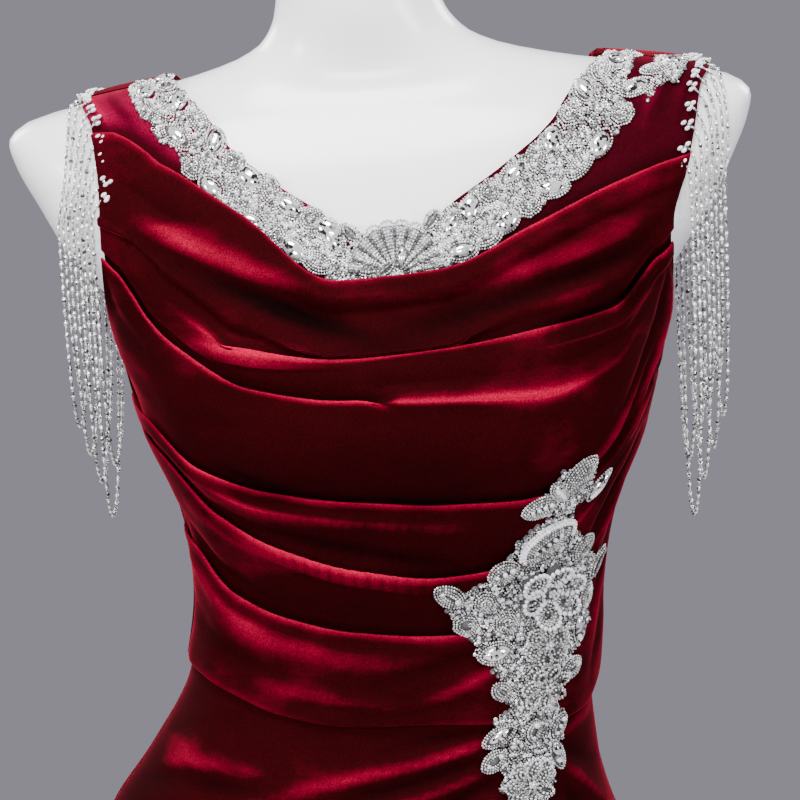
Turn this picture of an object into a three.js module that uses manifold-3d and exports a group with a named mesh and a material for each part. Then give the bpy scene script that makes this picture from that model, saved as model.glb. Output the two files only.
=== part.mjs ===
// A velvet evening dress on its dress form and floor stand.
// Millimetres, +Z up, front towards -Y. The origin is the centre of the stand's underside.
// Cloth is laid out on a symmetric body, and lean() then gives body and cloth their shared stance.
import * as THREE from "three";
import { mergeVertices } from "three/addons/utils/BufferGeometryUtils.js";
import Module from "manifold-3d";

const wasm = await Module();
wasm.setup();

// ---- Driving dimensions ----
const SEAM_GAP = 0.3;
const CLOTH = 2.0; // wall of every velvet panel
const HEM_Z = 20; // height of the hem above the floor
const SHOULDER_ARCH = 40; // height of the rounded shoulder above the flat of the chest
const ARCH_LENGTH = 63; // cloth length from the flat of the chest to the shoulder line
const STRAP_INNER = 115; // distance of a strap's neck side from the centre
const STRAP_FOOT = 88; // where the neckline starts to climb over the shoulder
const STRAP_LEVEL = 1400; // height at which distances across a strap are measured
const ARMPIT_Z = 1312;
const STRAP_OUT = 3.6; // outer face of the strap, from the body
const YOKE_DROP = 16; // how far the yoke runs on behind the cowl's edge
const ZIP_BOTTOM_Z = 970;
const ZIP_TOP_Z = 1379;
const ZIP_GAP = 4; // half the opening between the two backs
const SHOULDER_SLOPE = 0.07; // one shoulder stands higher than the other
const FORM_BOTTOM_Z = 838;
const BASE_RADIUS = 175;
const BASE_THICK = 12;
const POLE_RADIUS = 15;
const CHAIN_RADIUS = 1.3;

// Body sections: half width, depth to the front, depth to the back, and roundness of the oval.
const BODY = [
  { z: 838, half: 140, front: 88, back: 96, power: 2.3 },
  { z: 870, half: 158, front: 96, back: 112, power: 2.3 },
  { z: 910, half: 166, front: 99, back: 122, power: 2.3 },
  { z: 960, half: 160, front: 97, back: 116, power: 2.3 },
  { z: 1010, half: 142, front: 90, back: 98, power: 2.25 },
  { z: 1050, half: 123, front: 83, back: 82, power: 2.2 },
  { z: 1095, half: 110, front: 78, back: 70, power: 2.2 },
  { z: 1135, half: 109, front: 80, back: 68, power: 2.2 },
  { z: 1165, half: 112, front: 86, back: 72, power: 2.2 },
  { z: 1210, half: 124, front: 99, back: 80, power: 2.25 },
  { z: 1245, half: 138, front: 110, back: 86, power: 2.3 },
  { z: 1280, half: 147, front: 109, back: 90, power: 2.4 },
  { z: 1312, half: 154, front: 100, back: 93, power: 2.5 },
  { z: 1330, half: 164, front: 93, back: 94, power: 2.7 },
  { z: 1348, half: 178, front: 86, back: 93, power: 2.9 },
  { z: 1375, half: 192, front: 74, back: 90, power: 3.0 },
  { z: 1398, half: 203, front: 62, back: 84, power: 3.0 },
  { z: 1410, half: 206, front: 54, back: 78, power: 2.9 },
  { z: 1418, half: 200, front: 48, back: 72, power: 2.7 },
  { z: 1424, half: 182, front: 43, back: 66, power: 2.5 },
  { z: 1429, half: 155, front: 40, back: 62, power: 2.3 },
  { z: 1434, half: 124, front: 38, back: 58, power: 2.2 },
  { z: 1440, half: 96, front: 37, back: 55, power: 2.1 },
  { z: 1447, half: 72, front: 37.5, back: 52, power: 2 },
  { z: 1456, half: 56, front: 39, back: 49, power: 2 },
  { z: 1470, half: 47, front: 41, back: 47, power: 2 },
  { z: 1490, half: 43, front: 41.5, back: 45, power: 2 },
  { z: 1520, half: 42, front: 41, back: 44, power: 2 },
];
// Skirt sections below the hip.
const SKIRT = [
  { z: 20, half: 338, front: 290, back: 318, power: 2 },
  { z: 150, half: 307, front: 258, back: 284, power: 2 },
  { z: 300, half: 272, front: 222, back: 246, power: 2.05 },
  { z: 480, half: 232, front: 180, back: 204, power: 2.1 },
  { z: 650, half: 203, front: 146, back: 170, power: 2.2 },
  { z: 800, half: 182, front: 117, back: 142, power: 2.25 },
  { z: 910, half: 172, front: 104, back: 127, power: 2.3 },
  { z: 960, half: 166, front: 102, back: 121, power: 2.3 },
];
// Sideways stance of the body at each height.
const STANCE = [
  { z: 0, side: 0 },
  { z: 700, side: -10 },
  { z: 840, side: -14 },
  { z: 910, side: -15 },
  { z: 1016, side: -11.7 },
  { z: 1040, side: -7.7 },
  { z: 1075, side: 0 },
  { z: 1103, side: 5 },
  { z: 1134, side: 7.5 },
  { z: 1250, side: 5.5 },
  { z: 1312, side: 3 },
  { z: 1411, side: -3 },
  { z: 1475, side: -15 },
  { z: 1520, side: -20 },
];
// Armhole edge: distance from the centre at each height, and how far the cloth has slipped
// towards the wearer's left there.
const ARMHOLE = [
  { z: 1312, half: 151, slip: 0 },
  { z: 1350, half: 152, slip: 0.5 },
  { z: 1371, half: 156, slip: 4 },
  { z: 1391, half: 160, slip: 7.6 },
  { z: 1412, half: 165, slip: 9.8 },
  { z: 1432, half: 174, slip: 12 },
];
// Cowl and pleats, top to bottom: height of each fold's rim at ten angles round the front
// (-90 is the wearer's right side seam, 90 the left), how proud the rim stands, and how deep
// the groove above it is.
const FOLD_ANGLES = [-90, -70, -50, -30, -10, 10, 30, 50, 70, 90];
const FOLDS = [
  { name: "cowl", rim: [1410, 1409, 1395, 1367, 1330, 1333, 1352, 1371, 1381, 1384], proud: 12 },
  { name: "soft", rim: [1382, 1379, 1359, 1328, 1305, 1308, 1329, 1344, 1356, 1360], proud: 9, groove: 6 },
  { name: "second", rim: [1364, 1358, 1326, 1298, 1291, 1294, 1301, 1309, 1335, 1342], proud: 9.5, groove: 4.6 },
  { name: "bust", rim: [1350, 1343, 1304, 1278, 1271, 1268, 1268, 1283, 1317, 1328], proud: 11, groove: 5 },
  { name: "fourth", rim: [1261, 1256, 1232, 1220, 1216, 1214, 1214, 1222, 1262, 1290], proud: 10, groove: 4.2 },
  { name: "deep", rim: [1245, 1237, 1204, 1187, 1176, 1171, 1175, 1194, 1238, 1266], proud: 11, groove: 3.8 },
  { name: "sixth", rim: [1186, 1178, 1154, 1143, 1137, 1135, 1138, 1154, 1194, 1222], proud: 9.5, groove: 4.2 },
  { name: "waist", rim: [1103, 1101, 1095, 1086, 1082, 1083, 1081, 1077, 1080, 1098], proud: 8.5 },
];
// Neckline: height of the inner edge at each distance from the centre.
const NECKLINE = [
  { x: 0, z: 1352 },
  { x: 20, z: 1356 },
  { x: 39, z: 1369 },
  { x: 58, z: 1381 },
  { x: 78, z: 1396 },
  { x: 92, z: 1407 },
];
const BACK_NECKLINE = [
  { x: 0, z: 1384 },
  { x: 60, z: 1391 },
  { x: 92, z: 1399 },
];
// Jewelled appliqué over the left hip: ground sewn to the velvet, given by the angles it spans
// at each height, with raised blossoms on it.
const MAIN_GROUND = [
  { z: 1204, from: 40, to: 48 },
  { z: 1195, from: 33, to: 53 },
  { z: 1184, from: 29, to: 58 },
  { z: 1172, from: 25, to: 66 },
  { z: 1160, from: 16, to: 67 },
  { z: 1150, from: 12, to: 66 },
  { z: 1138, from: 16, to: 67 },
  { z: 1126, from: 20, to: 65 },
  { z: 1116, from: 25, to: 60 },
];
const SPRAY_GROUND = [
  { z: 1235, from: 43, to: 48 },
  { z: 1226, from: 40, to: 53 },
  { z: 1215, from: 35, to: 57 },
  { z: 1206, from: 34, to: 51 },
];
const TRAIL_GROUND = [
  { z: 1114, from: 27, to: 60 },
  { z: 1104, from: 31, to: 54 },
  { z: 1092, from: 32, to: 54 },
  { z: 1080, from: 28, to: 57 },
  { z: 1068, from: 27, to: 57 },
  { z: 1055, from: 31, to: 55 },
  { z: 1042, from: 32, to: 52 },
  { z: 1030, from: 33, to: 49 },
  { z: 1020, from: 37, to: 45 },
];
const FLOWER = { angle: 46, z: 1154, radius: 23, petals: 8, thick: 6 };
const TRAIL_FLOWERS = [
  { angle: 43, z: 1098, radius: 15, petals: 6, thick: 4.6 },
  { angle: 42, z: 1044, radius: 15, petals: 6, thick: 4.6 },
];
const GROUND_THICK = 2.2;
const JEWEL_CLEAR = 0.8; // between the ground and the velvet below it
// Lower edge of the jewelled band below the neckline, at each distance from the centre.
const BAND_FOOT = [
  { x: 0, z: 1334 },
  { x: 40, z: 1341 },
  { x: 66, z: 1351 },
  { x: 84, z: 1362 },
  { x: 99, z: 1381 },
  { x: 120, z: 1399 },
  { x: 137, z: 1414 },
];
const BAND_END = 137;
const FAN = { x: 5, foot: 1334, radius: 26, ribs: 9, spread: 78, lift: 0.5 };
// Hanging chains at each armhole: where the two upper ends sit along the armhole from the
// shoulder line, how far from the armhole the loop hangs, and how far it drops.
const CHAINS = [
  { root: 12, beyond: 21, drop: 128 },
  { root: 20, beyond: 18.5, drop: 106 },
  { root: 29, beyond: 16, drop: 146 },
  { root: 37, beyond: 13.5, drop: 120 },
  { root: 46, beyond: 11, drop: 163 },
  { root: 54, beyond: 8.5, drop: 136 },
  { root: 63, beyond: 6, drop: 184 },
  { root: 71, beyond: 3.4, drop: 153 },
];
const CAP_FOOT = 1368; // height at which the chains leave the shoulder and hang free

// ---- Curves through the tables ----
// A smooth curve through one column of a table that never overshoots its values.
function curve(rows, across, up) {
  const x = rows.map((row) => row[across]);
  const y = rows.map((row) => row[up]);
  const slope = x.map((_, i) => {
    if (i === 0 || i === x.length - 1) return 0;
    const before = (y[i] - y[i - 1]) / (x[i] - x[i - 1]);
    const after = (y[i + 1] - y[i]) / (x[i + 1] - x[i]);
    return before * after <= 0 ? 0 : (2 * before * after) / (before + after);
  });
  return (at) => {
    const t = THREE.MathUtils.clamp(at, x[0], x[x.length - 1]);
    let i = 0;
    while (i < x.length - 2 && t > x[i + 1]) i += 1;
    const step = x[i + 1] - x[i];
    const s = (t - x[i]) / step;
    const rise = s * s * (3 - 2 * s);
    const ease = s * (1 - s) * step;
    return y[i] + (y[i + 1] - y[i]) * rise + ease * ((1 - s) * slope[i] - s * slope[i + 1]);
  };
}
const section = (rows) => ({
  half: curve(rows, "z", "half"),
  front: curve(rows, "z", "front"),
  back: curve(rows, "z", "back"),
  power: curve(rows, "z", "power"),
});
const body = section(BODY);
const skirt = section(SKIRT);
const stance = curve(STANCE, "z", "side");
const armhole = curve(ARMHOLE, "z", "half");
const slip = curve(ARMHOLE, "z", "slip");
const neckline = curve(NECKLINE, "x", "z");
const backNeckline = curve(BACK_NECKLINE, "x", "z");
const rimOf = Object.fromEntries(
  FOLDS.map((fold) => [fold.name, curve(fold.rim.map((z, i) => ({ angle: FOLD_ANGLES[i], z })), "angle", "z")]),
);
const smooth = THREE.MathUtils.smoothstep;
const mix = THREE.MathUtils.lerp;
const radians = THREE.MathUtils.degToRad;

// The stance of the body: it leans to a side and one shoulder is raised.
function lean(point) {
  const raised = SHOULDER_SLOPE * point.x * smooth(point.z, 1150, 1400);
  const side = stance(THREE.MathUtils.clamp(point.z, 0, 1520));
  return new THREE.Vector3(point.x + side, point.y, point.z + raised);
}

// ---- The body's surface ----
// Below 0 inside the body, 0 on its surface.
function bodyField(point) {
  const depth = point.y < 0 ? body.front(point.z) : body.back(point.z);
  const power = body.power(point.z);
  const across = Math.pow(Math.abs(point.x) / body.half(point.z), power);
  return across + Math.pow(Math.abs(point.y) / depth, power) - 1;
}

function bodyNormal(point) {
  const reach = 0.5;
  const slope = (axis) => {
    const ahead = point.clone();
    const behind = point.clone();
    ahead[axis] += reach;
    behind[axis] -= reach;
    return bodyField(ahead) - bodyField(behind);
  };
  return new THREE.Vector3(slope("x"), slope("y"), slope("z")).normalize();
}

// Height of the shoulder line at a distance from the centre.
function crest(x) {
  let low = 1411;
  let high = 1500;
  for (let i = 0; i < 30; i += 1) {
    const z = (low + high) / 2;
    if (body.half(z) > Math.abs(x)) low = z;
    else high = z;
  }
  return low;
}

// Where a ray from inside the body, at x and z, leaves the surface.
function castOut(x, z, direction) {
  let near = 0;
  let far = 160;
  const at = (r) => new THREE.Vector3(x, direction.y * r, z + direction.z * r);
  for (let i = 0; i < 34; i += 1) {
    const r = (near + far) / 2;
    if (bodyField(at(r)) < 0) near = r;
    else far = r;
  }
  return at(near);
}

// A point on the body at an angle round one side (side -1 is the front, 1 the back). The height
// counts in mm of z up to the shoulder's arch, and then along the arch up to the shoulder line.
const acrossCloth = (across, reach, z) => across * reach + Math.abs(across) * slip(z);
function archFoot(angle) {
  const x = Math.abs(acrossCloth(Math.sin(radians(angle)), armhole(STRAP_LEVEL), STRAP_LEVEL));
  return x < 40 ? 1600 : crest(x) - SHOULDER_ARCH;
}
function onBody(angle, height, side, out, beyond = 0) {
  const across = Math.sin(radians(angle));
  const aside = Math.sign(across) * beyond;
  const foot = archFoot(angle);
  let point;
  if (height <= foot) {
    const half = body.half(height);
    const reach = height > ARMPIT_Z ? Math.min(armhole(height), half) : half;
    const x = acrossCloth(across, reach, height) + aside;
    const power = body.power(height);
    const depth = side < 0 ? body.front(height) : body.back(height);
    const y = side * depth * Math.pow(Math.max(0, 1 - Math.pow(Math.abs(x) / half, power)), 1 / power);
    point = new THREE.Vector3(x, y, height);
  } else {
    const turn = (Math.min(1, (height - foot) / ARCH_LENGTH) * Math.PI) / 2;
    const z = foot + SHOULDER_ARCH * Math.sin(turn);
    const direction = new THREE.Vector3(0, side * Math.cos(turn), Math.sin(turn));
    point = castOut(acrossCloth(across, armhole(z), z) + aside, foot, direction);
  }
  return point.addScaledVector(bodyNormal(point), out);
}
// The height along the arch whose point lies at z.
function heightAt(angle, z, side) {
  const foot = archFoot(angle);
  if (z <= foot) return z;
  let low = foot;
  let high = foot + ARCH_LENGTH;
  for (let i = 0; i < 24; i += 1) {
    const middle = (low + high) / 2;
    if (onBody(angle, middle, side, 0).z < z) low = middle;
    else high = middle;
  }
  return low;
}

// ---- Walls and solids ----
function geometryFrom(points, faces) {
  const geometry = new THREE.BufferGeometry();
  geometry.setAttribute("position", new THREE.Float32BufferAttribute(points.flatMap((p) => p.toArray()), 3));
  geometry.setIndex(faces);
  let volume = 0;
  for (let i = 0; i < faces.length; i += 3) {
    const [a, b, c] = [0, 1, 2].map((k) => points[faces[i + k]]);
    volume += a.dot(new THREE.Vector3().crossVectors(b, c));
  }
  if (volume < 0) {
    for (let i = 0; i < faces.length; i += 3) {
      [faces[i], faces[i + 1]] = [faces[i + 1], faces[i]];
    }
    geometry.setIndex(faces);
  }
  return geometry;
}

// Unit normals of a grid of points, facing the same way as the body's.
function gridNormals(grid) {
  const clampRow = (i) => grid[THREE.MathUtils.clamp(i, 0, grid.length - 1)];
  const at = (i, j) => clampRow(i)[THREE.MathUtils.clamp(j, 0, grid[0].length - 1)];
  return grid.map((row, i) =>
    row.map((point, j) => {
      const along = at(i, j + 1).clone().sub(at(i, j - 1));
      const up = at(i + 1, j).clone().sub(point).normalize();
      up.add(point.clone().sub(at(i - 1, j)).normalize());
      const normal = along.cross(up).normalize();
      if (normal.dot(bodyNormal(point)) < 0) normal.negate();
      const besideZip = point.y > 0 && Math.abs(point.x) < ZIP_GAP + 0.5;
      return besideZip ? normal.setX(0).normalize() : normal;
    }),
  );
}

// A closed wall: an outer grid, and the same grid moved in by its thickness.
function wall(outer, thickness, normals = gridNormals(outer)) {
  const inner = outer.map((row, i) => row.map((p, j) => p.clone().addScaledVector(normals[i][j], -thickness)));
  const rows = outer.length;
  const columns = outer[0].length;
  const points = [...outer.flat(), ...inner.flat()];
  const index = (i, j, layer) => layer * rows * columns + i * columns + j;
  const faces = [];
  const quad = (a, b, c, d) => faces.push(a, b, c, a, c, d);
  for (let i = 0; i < rows - 1; i += 1) {
    for (let j = 0; j < columns - 1; j += 1) {
      quad(index(i, j, 0), index(i, j + 1, 0), index(i + 1, j + 1, 0), index(i + 1, j, 0));
      quad(index(i, j, 1), index(i + 1, j, 1), index(i + 1, j + 1, 1), index(i, j + 1, 1));
    }
  }
  for (let j = 0; j < columns - 1; j += 1) {
    quad(index(0, j, 0), index(0, j, 1), index(0, j + 1, 1), index(0, j + 1, 0));
    quad(index(rows - 1, j, 0), index(rows - 1, j + 1, 0), index(rows - 1, j + 1, 1), index(rows - 1, j, 1));
  }
  for (let i = 0; i < rows - 1; i += 1) {
    quad(index(i, 0, 0), index(i + 1, 0, 0), index(i + 1, 0, 1), index(i, 0, 1));
    quad(index(i, columns - 1, 0), index(i, columns - 1, 1), index(i + 1, columns - 1, 1), index(i + 1, columns - 1, 0));
  }
  return geometryFrom(points.map(lean), faces);
}

// A closed skin through rings of points, capped flat at both ends.
function loft(rings) {
  const count = rings[0].length;
  const middle = (ring) => ring.reduce((sum, p) => sum.add(p), new THREE.Vector3()).divideScalar(count);
  const points = [...rings.flat(), middle(rings[0]), middle(rings[rings.length - 1])];
  const faces = [];
  for (let i = 0; i < rings.length - 1; i += 1) {
    for (let j = 0; j < count; j += 1) {
      const next = (j + 1) % count;
      const [a, b, c, d] = [i * count + j, i * count + next, (i + 1) * count + next, (i + 1) * count + j];
      faces.push(a, b, c, a, c, d);
    }
  }
  const last = (rings.length - 1) * count;
  for (let j = 0; j < count; j += 1) {
    const next = (j + 1) % count;
    faces.push(points.length - 2, next, j, points.length - 1, last + j, last + next);
  }
  return geometryFrom(points, faces);
}

function toSolid(geometry) {
  const bare = geometry.clone();
  bare.deleteAttribute("normal");
  bare.deleteAttribute("uv");
  const merged = mergeVertices(bare);
  return new wasm.Manifold(
    new wasm.Mesh({
      numProp: 3,
      vertProperties: new Float32Array(merged.attributes.position.array),
      triVerts: new Uint32Array(merged.index.array),
    }),
  );
}

function fromSolid(solid) {
  const mesh = solid.getMesh();
  const geometry = new THREE.BufferGeometry();
  geometry.setAttribute("position", new THREE.BufferAttribute(new Float32Array(mesh.vertProperties), 3));
  geometry.setIndex(new THREE.BufferAttribute(new Uint32Array(mesh.triVerts), 1));
  return geometry;
}

const spread = (count, from, to) => Array.from({ length: count }, (_, i) => mix(from, to, i / (count - 1)));

// ---- Materials ----
const finish = (color, roughness, metalness = 0) =>
  new THREE.MeshStandardMaterial({ color, roughness, metalness });
const materials = {
  velvet: finish(0x6e1024, 0.75),
  yokeVelvet: finish(0x9c2036, 0.7),
  jewel: finish(0xd9d4cf, 0.2, 0.4),
  chain: finish(0xdedede, 0.15, 0.7),
  form: finish(0xf4f3f1, 0.15),
  steel: finish(0xb9bbbd, 0.25, 1),
  zip: finish(0x4c0c1b, 0.5),
};

const dress = new THREE.Group();
function add(name, geometry, material) {
  const mesh = new THREE.Mesh(geometry, material);
  mesh.name = name;
  dress.add(mesh);
  return mesh;
}

// ---- Draped front ----
// How strongly the folds stand out: they flatten towards the side seams and under the flower.
const sideward = (angle) => smooth(Math.abs(angle), 55, 88);
function foldStrength(angle, z) {
  const fromFlower = Math.hypot((angle - FLOWER.angle) * 1.7, z - FLOWER.z);
  return (1 - 0.75 * sideward(angle)) * (1 - 0.85 * (1 - smooth(fromFlower, 20, 62)));
}
const REST_OUT = 6.4; // where the cloth lies between folds
const SIDE_OUT = 5; // and at the side seams
const foldOut = (value, angle, z) => mix(mix(REST_OUT, SIDE_OUT, sideward(angle)), value, foldStrength(angle, z));
const STEP_HEIGHT = 2.4; // height of the ledge between a rim and the groove above it

// Rows of one column of the draped front, bottom to top: height and distance from the body.
function drapeColumn(angle) {
  const rims = FOLDS.map((fold) => rimOf[fold.name](angle));
  const rows = [];
  for (let i = FOLDS.length - 1; i > 0; i -= 1) {
    const lower = FOLDS[i];
    const upper = FOLDS[i - 1];
    const isHem = i === FOLDS.length - 1;
    const bottom = rims[i] + (isHem ? 0 : STEP_HEIGHT);
    const start = isHem ? lower.proud : lower.groove;
    const full = mix(start, upper.proud, 0.62) + 1.2;
    rows.push({ z: bottom, out: isHem ? start : foldOut(start, angle, bottom) });
    rows.push({ z: mix(bottom, rims[i - 1], 0.4), out: foldOut(full, angle, bottom) });
    rows.push({ z: mix(bottom, rims[i - 1], 0.8), out: foldOut(upper.proud, angle, rims[i - 1]) });
    rows.push({ z: rims[i - 1], out: foldOut(upper.proud - 0.6, angle, rims[i - 1]) });
  }
  return rows;
}
function drapedFront() {
  const angles = spread(28, -89.4, 89.4);
  const columns = angles.map(drapeColumn);
  const grid = columns[0].map((_, i) =>
    angles.map((angle, j) => onBody(angle, columns[j][i].z, -1, columns[j][i].out)),
  );
  return wall(grid, CLOTH);
}

// ---- Yoke with shoulder straps ----
const distanceOf = (angle) => Math.abs(Math.sin(radians(angle))) * armhole(STRAP_LEVEL);
const angleOf = (x) => THREE.MathUtils.radToDeg(Math.asin(x / armhole(STRAP_LEVEL)));
// A column's top is the neckline, or the shoulder line where the strap crosses it.
function topHeight(angle, side) {
  const x = distanceOf(angle);
  const shoulderLine = archFoot(angle) + ARCH_LENGTH - SEAM_GAP;
  const level = heightAt(angle, side < 0 ? neckline(x) : backNeckline(x), side);
  const climb = THREE.MathUtils.clamp((x - STRAP_FOOT) / (STRAP_INNER - STRAP_FOOT), 0, 1);
  return mix(level, shoulderLine, Math.pow(climb, 1.3));
}
const strapAngle = angleOf(STRAP_INNER);
// Columns stand close where the neckline climbs to the shoulder line.
const strapColumns = [...spread(6, 34, strapAngle - 0.2), ...spread(4, strapAngle + 0.2, 89.4)];
const yokeAngles = [...strapColumns.map((angle) => -angle).reverse(), ...spread(10, -29, 29), ...strapColumns];
function yoke() {
  const grid = [0, 0.3, ...spread(6, 0.45, 1)].map((t) =>
    yokeAngles.map((angle) => {
      const low = rimOf.cowl(angle) - YOKE_DROP;
      return onBody(angle, mix(low, topHeight(angle, -1), t), -1, STRAP_OUT);
    }),
  );
  return wall(grid, CLOTH);
}

// ---- Backs ----
const BACK_OUT = { foot: 8.5, seam: 5.8, middle: 7.2 };
function back(sign) {
  const inner = THREE.MathUtils.radToDeg(Math.asin(ZIP_GAP / 140));
  const angles = [...spread(5, inner, 29), ...strapColumns].map((angle) => sign * angle);
  const grid = [...spread(4, 0, 0.52), ...spread(4, 0.61, 0.76), ...spread(7, 0.81, 1)].map((t) =>
    angles.map((angle) => {
      const height = mix(backWaist(angle), topHeight(angle, 1), t);
      const above = mix(BACK_OUT.middle, BACK_OUT.seam, sideward(angle));
      const out = mix(mix(BACK_OUT.foot, above, smooth(t, 0, 0.3)), STRAP_OUT + 0.2, smooth(height, 1420, 1456));
      return onBody(angle, height, 1, out);
    }),
  );
  return wall(grid, CLOTH);
}

// ---- Skirt ----
const FLUTES = 12;
const SKIRT_TOP_OUT = 5;
// Depth of the skirt's flutes at a height.
const fluteDepth = (z) => 1.2 + 22 * Math.pow(1 - smooth(z, 20, 900), 1.5);
function onSkirt(angle, z, side) {
  const turn = side < 0 ? radians(angle) : Math.PI - radians(angle);
  const hipward = smooth(z, 905, 960);
  const at = (name) => mix(skirt[name](z), body[name](Math.max(z, 905)) + SKIRT_TOP_OUT, hipward);
  const half = at("half");
  const depth = side < 0 ? at("front") : at("back");
  const power = at("power") - hipward * SKIRT_TOP_OUT;
  const across = Math.sin(radians(angle));
  const x = across * half;
  const y = side * depth * Math.pow(Math.max(0, 1 - Math.pow(Math.abs(across), power)), 1 / power);
  const wave = Math.cos(turn * FLUTES) * fluteDepth(z) * (1 - smooth(z, 880, 960));
  const away = new THREE.Vector3(x / (half * half), y / (depth * depth), 0).normalize();
  return new THREE.Vector3(x, y, z).addScaledVector(away, wave * 0.5);
}
// Half the opening at the centre back: wide at the zip, a plain seam below it.
const backGap = (z) => mix(SEAM_GAP / 2, ZIP_GAP, smooth(z, ZIP_BOTTOM_Z - 18, ZIP_BOTTOM_Z));
const skirtHeights = (top) => [top, top - 22, top - 48, top - 78, top - 108, 945, 890, 800, 690, 560, 420, 280, 140,
  HEM_Z];
function skirtPanel(angleAt, columns, side, topAt) {
  const shares = spread(columns, 0, 1);
  const tops = shares.map((share) => skirtHeights(topAt(angleAt(share, 1095))));
  const grid = tops[0].map((_, i) => shares.map((share, j) => onSkirt(angleAt(share, tops[j][i]), tops[j][i], side)));
  return wall(grid.reverse(), CLOTH);
}
const SKIRT_TUCK = 7; // how far the skirt runs up behind the bodice
const BACK_DIP = 14; // how much lower the waist lies at the centre back
const skirtTop = (angle) => rimOf.waist(angle) + SKIRT_TUCK;
const backWaist = (angle) => rimOf.waist(Math.sign(angle) * 89.4) - BACK_DIP * (1 - Math.abs(Math.sin(radians(angle))));
const backSkirtTop = (angle) => backWaist(angle) + SKIRT_TUCK;

// ---- Dress form and stand ----
function formTorso() {
  const heights = [...spread(7, FORM_BOTTOM_Z, 1050), 1076, 1100, ...spread(6, 1130, 1300), 1322, 1338, 1352, 1370, 1387,
    1400, 1409, 1415, 1420, 1424, 1428, 1432, 1438, 1447, 1458, 1475, 1504, 1518];
  const count = 24;
  const rings = heights.map((z) => {
    const power = body.power(z);
    const trim = z > 1500 ? 1 - Math.pow((z - 1500) / 18, 3) * 0.12 : 1;
    return Array.from({ length: count }, (_, k) => {
      const turn = (k / count) * 2 * Math.PI;
      const [s, c] = [Math.sin(turn), Math.cos(turn)];
      const grow = Math.pow(Math.pow(Math.abs(s), power) + Math.pow(Math.abs(c), power), -1 / power);
      const depth = c > 0 ? body.front(z) : body.back(z);
      return lean(new THREE.Vector3(s * grow * body.half(z) * trim, -c * grow * depth * trim, z));
    });
  });
  return loft(rings);
}

function turned(profile, segments) {
  const geometry = new THREE.LatheGeometry(profile.map(([r, z]) => new THREE.Vector2(r, z)), segments);
  return fromSolid(toSolid(geometry.rotateX(Math.PI / 2)));
}

// ---- Jewelled bands of the neckline ----
const JEWEL_LIFT = 1.5; // clearance between the jewels' ground and the velvet
const JEWEL_THICK = 2;
const bandFoot = curve(BAND_FOOT, "x", "z");
function neckBand(sign) {
  const besideFan = FAN.radius + sign * FAN.x + 1;
  const angles = [...spread(9, angleOf(besideFan), 32), ...spread(8, 34.5, angleOf(BAND_END))].map((a) => sign * a);
  const grid = spread(6, 0, 1).map((t, i) =>
    angles.map((angle, j) => {
      const scallop = 3 * Math.abs(Math.sin(j * 0.9)) * (1 - t);
      const foot = Math.max(bandFoot(distanceOf(angle)) + scallop, rimOf.cowl(angle) + 1.5);
      const height = mix(foot, topHeight(angle, -1) - 1, t);
      const bead = i > 0 && i < 5 && (i + j) % 2 ? 1.1 : 0;
      const overShoulder = smooth(height, 1395, 1415);
      return onBody(angle, height, -1, STRAP_OUT + JEWEL_LIFT + overShoulder + JEWEL_THICK + bead);
    }),
  );
  return wall(grid, JEWEL_THICK);
}
// The shell-shaped fan at the middle, with raised ribs and a scalloped rim.
function neckFan() {
  const turns = spread(FAN.ribs * 2 + 1, -FAN.spread, FAN.spread);
  const grid = [0.14, 0.4, 0.7, 0.92, 1].map((share, i) =>
    turns.map((turn, j) => {
      const rim = share * FAN.radius * (i === 4 && j % 2 === 0 ? 0.93 : 1);
      const x = FAN.x + rim * Math.sin(radians(turn));
      const z = FAN.foot + rim * Math.cos(radians(turn));
      const rib = j % 2 ? 1.4 * share : 0;
      return onBody(Math.sign(x) * angleOf(Math.abs(x)), z, -1, STRAP_OUT + FAN.lift + JEWEL_THICK + rib);
    }),
  );
  return wall(grid, JEWEL_THICK);
}

// ---- Jewelled appliqué of the hip ----
// Distance of the velvet's outer face from the body, on the bodice or on the skirt below it.
function clothOut(angle, z) {
  const rows = drapeColumn(angle);
  if (z < rows[0].z - 3) return SKIRT_TOP_OUT;
  const upper = rows.findIndex((row) => row.z >= z);
  if (upper <= 0) return rows[0].out;
  const below = rows[upper - 1];
  return mix(below.out, rows[upper].out, (z - below.z) / (rows[upper].z - below.z));
}
// Where jewels clear the velvet all round a point.
function jewelSeat(angle, z) {
  const near = [-8, -4, 0, 4, 8].flatMap((up) => [-4, 0, 4].map((aside) => clothOut(angle + aside, z + up)));
  return Math.max(...near) + JEWEL_CLEAR;
}
// A low ground with scalloped sides and beaded rows, laid on the velvet.
function ground(rows, columns) {
  const from = curve(rows.toReversed(), "z", "from");
  const to = curve(rows.toReversed(), "z", "to");
  const levels = spread(rows.length + 2, rows[rows.length - 1].z, rows[0].z);
  const grid = levels.map((z, i) =>
    spread(columns, 0, 1).map((t, j) => {
      const scallop = i % 2 ? 1.2 : 0;
      const angle = mix(from(z) + scallop, to(z) - scallop, t);
      const inside = j > 0 && j < columns - 1 && i > 0 && i < levels.length - 1;
      const bead = inside ? 0.6 + 1.2 * ((i + j) % 2) : 0;
      return onBody(angle, z, -1, jewelSeat(angle, z) + GROUND_THICK + bead);
    }),
  );
  return wall(grid, GROUND_THICK);
}
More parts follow.
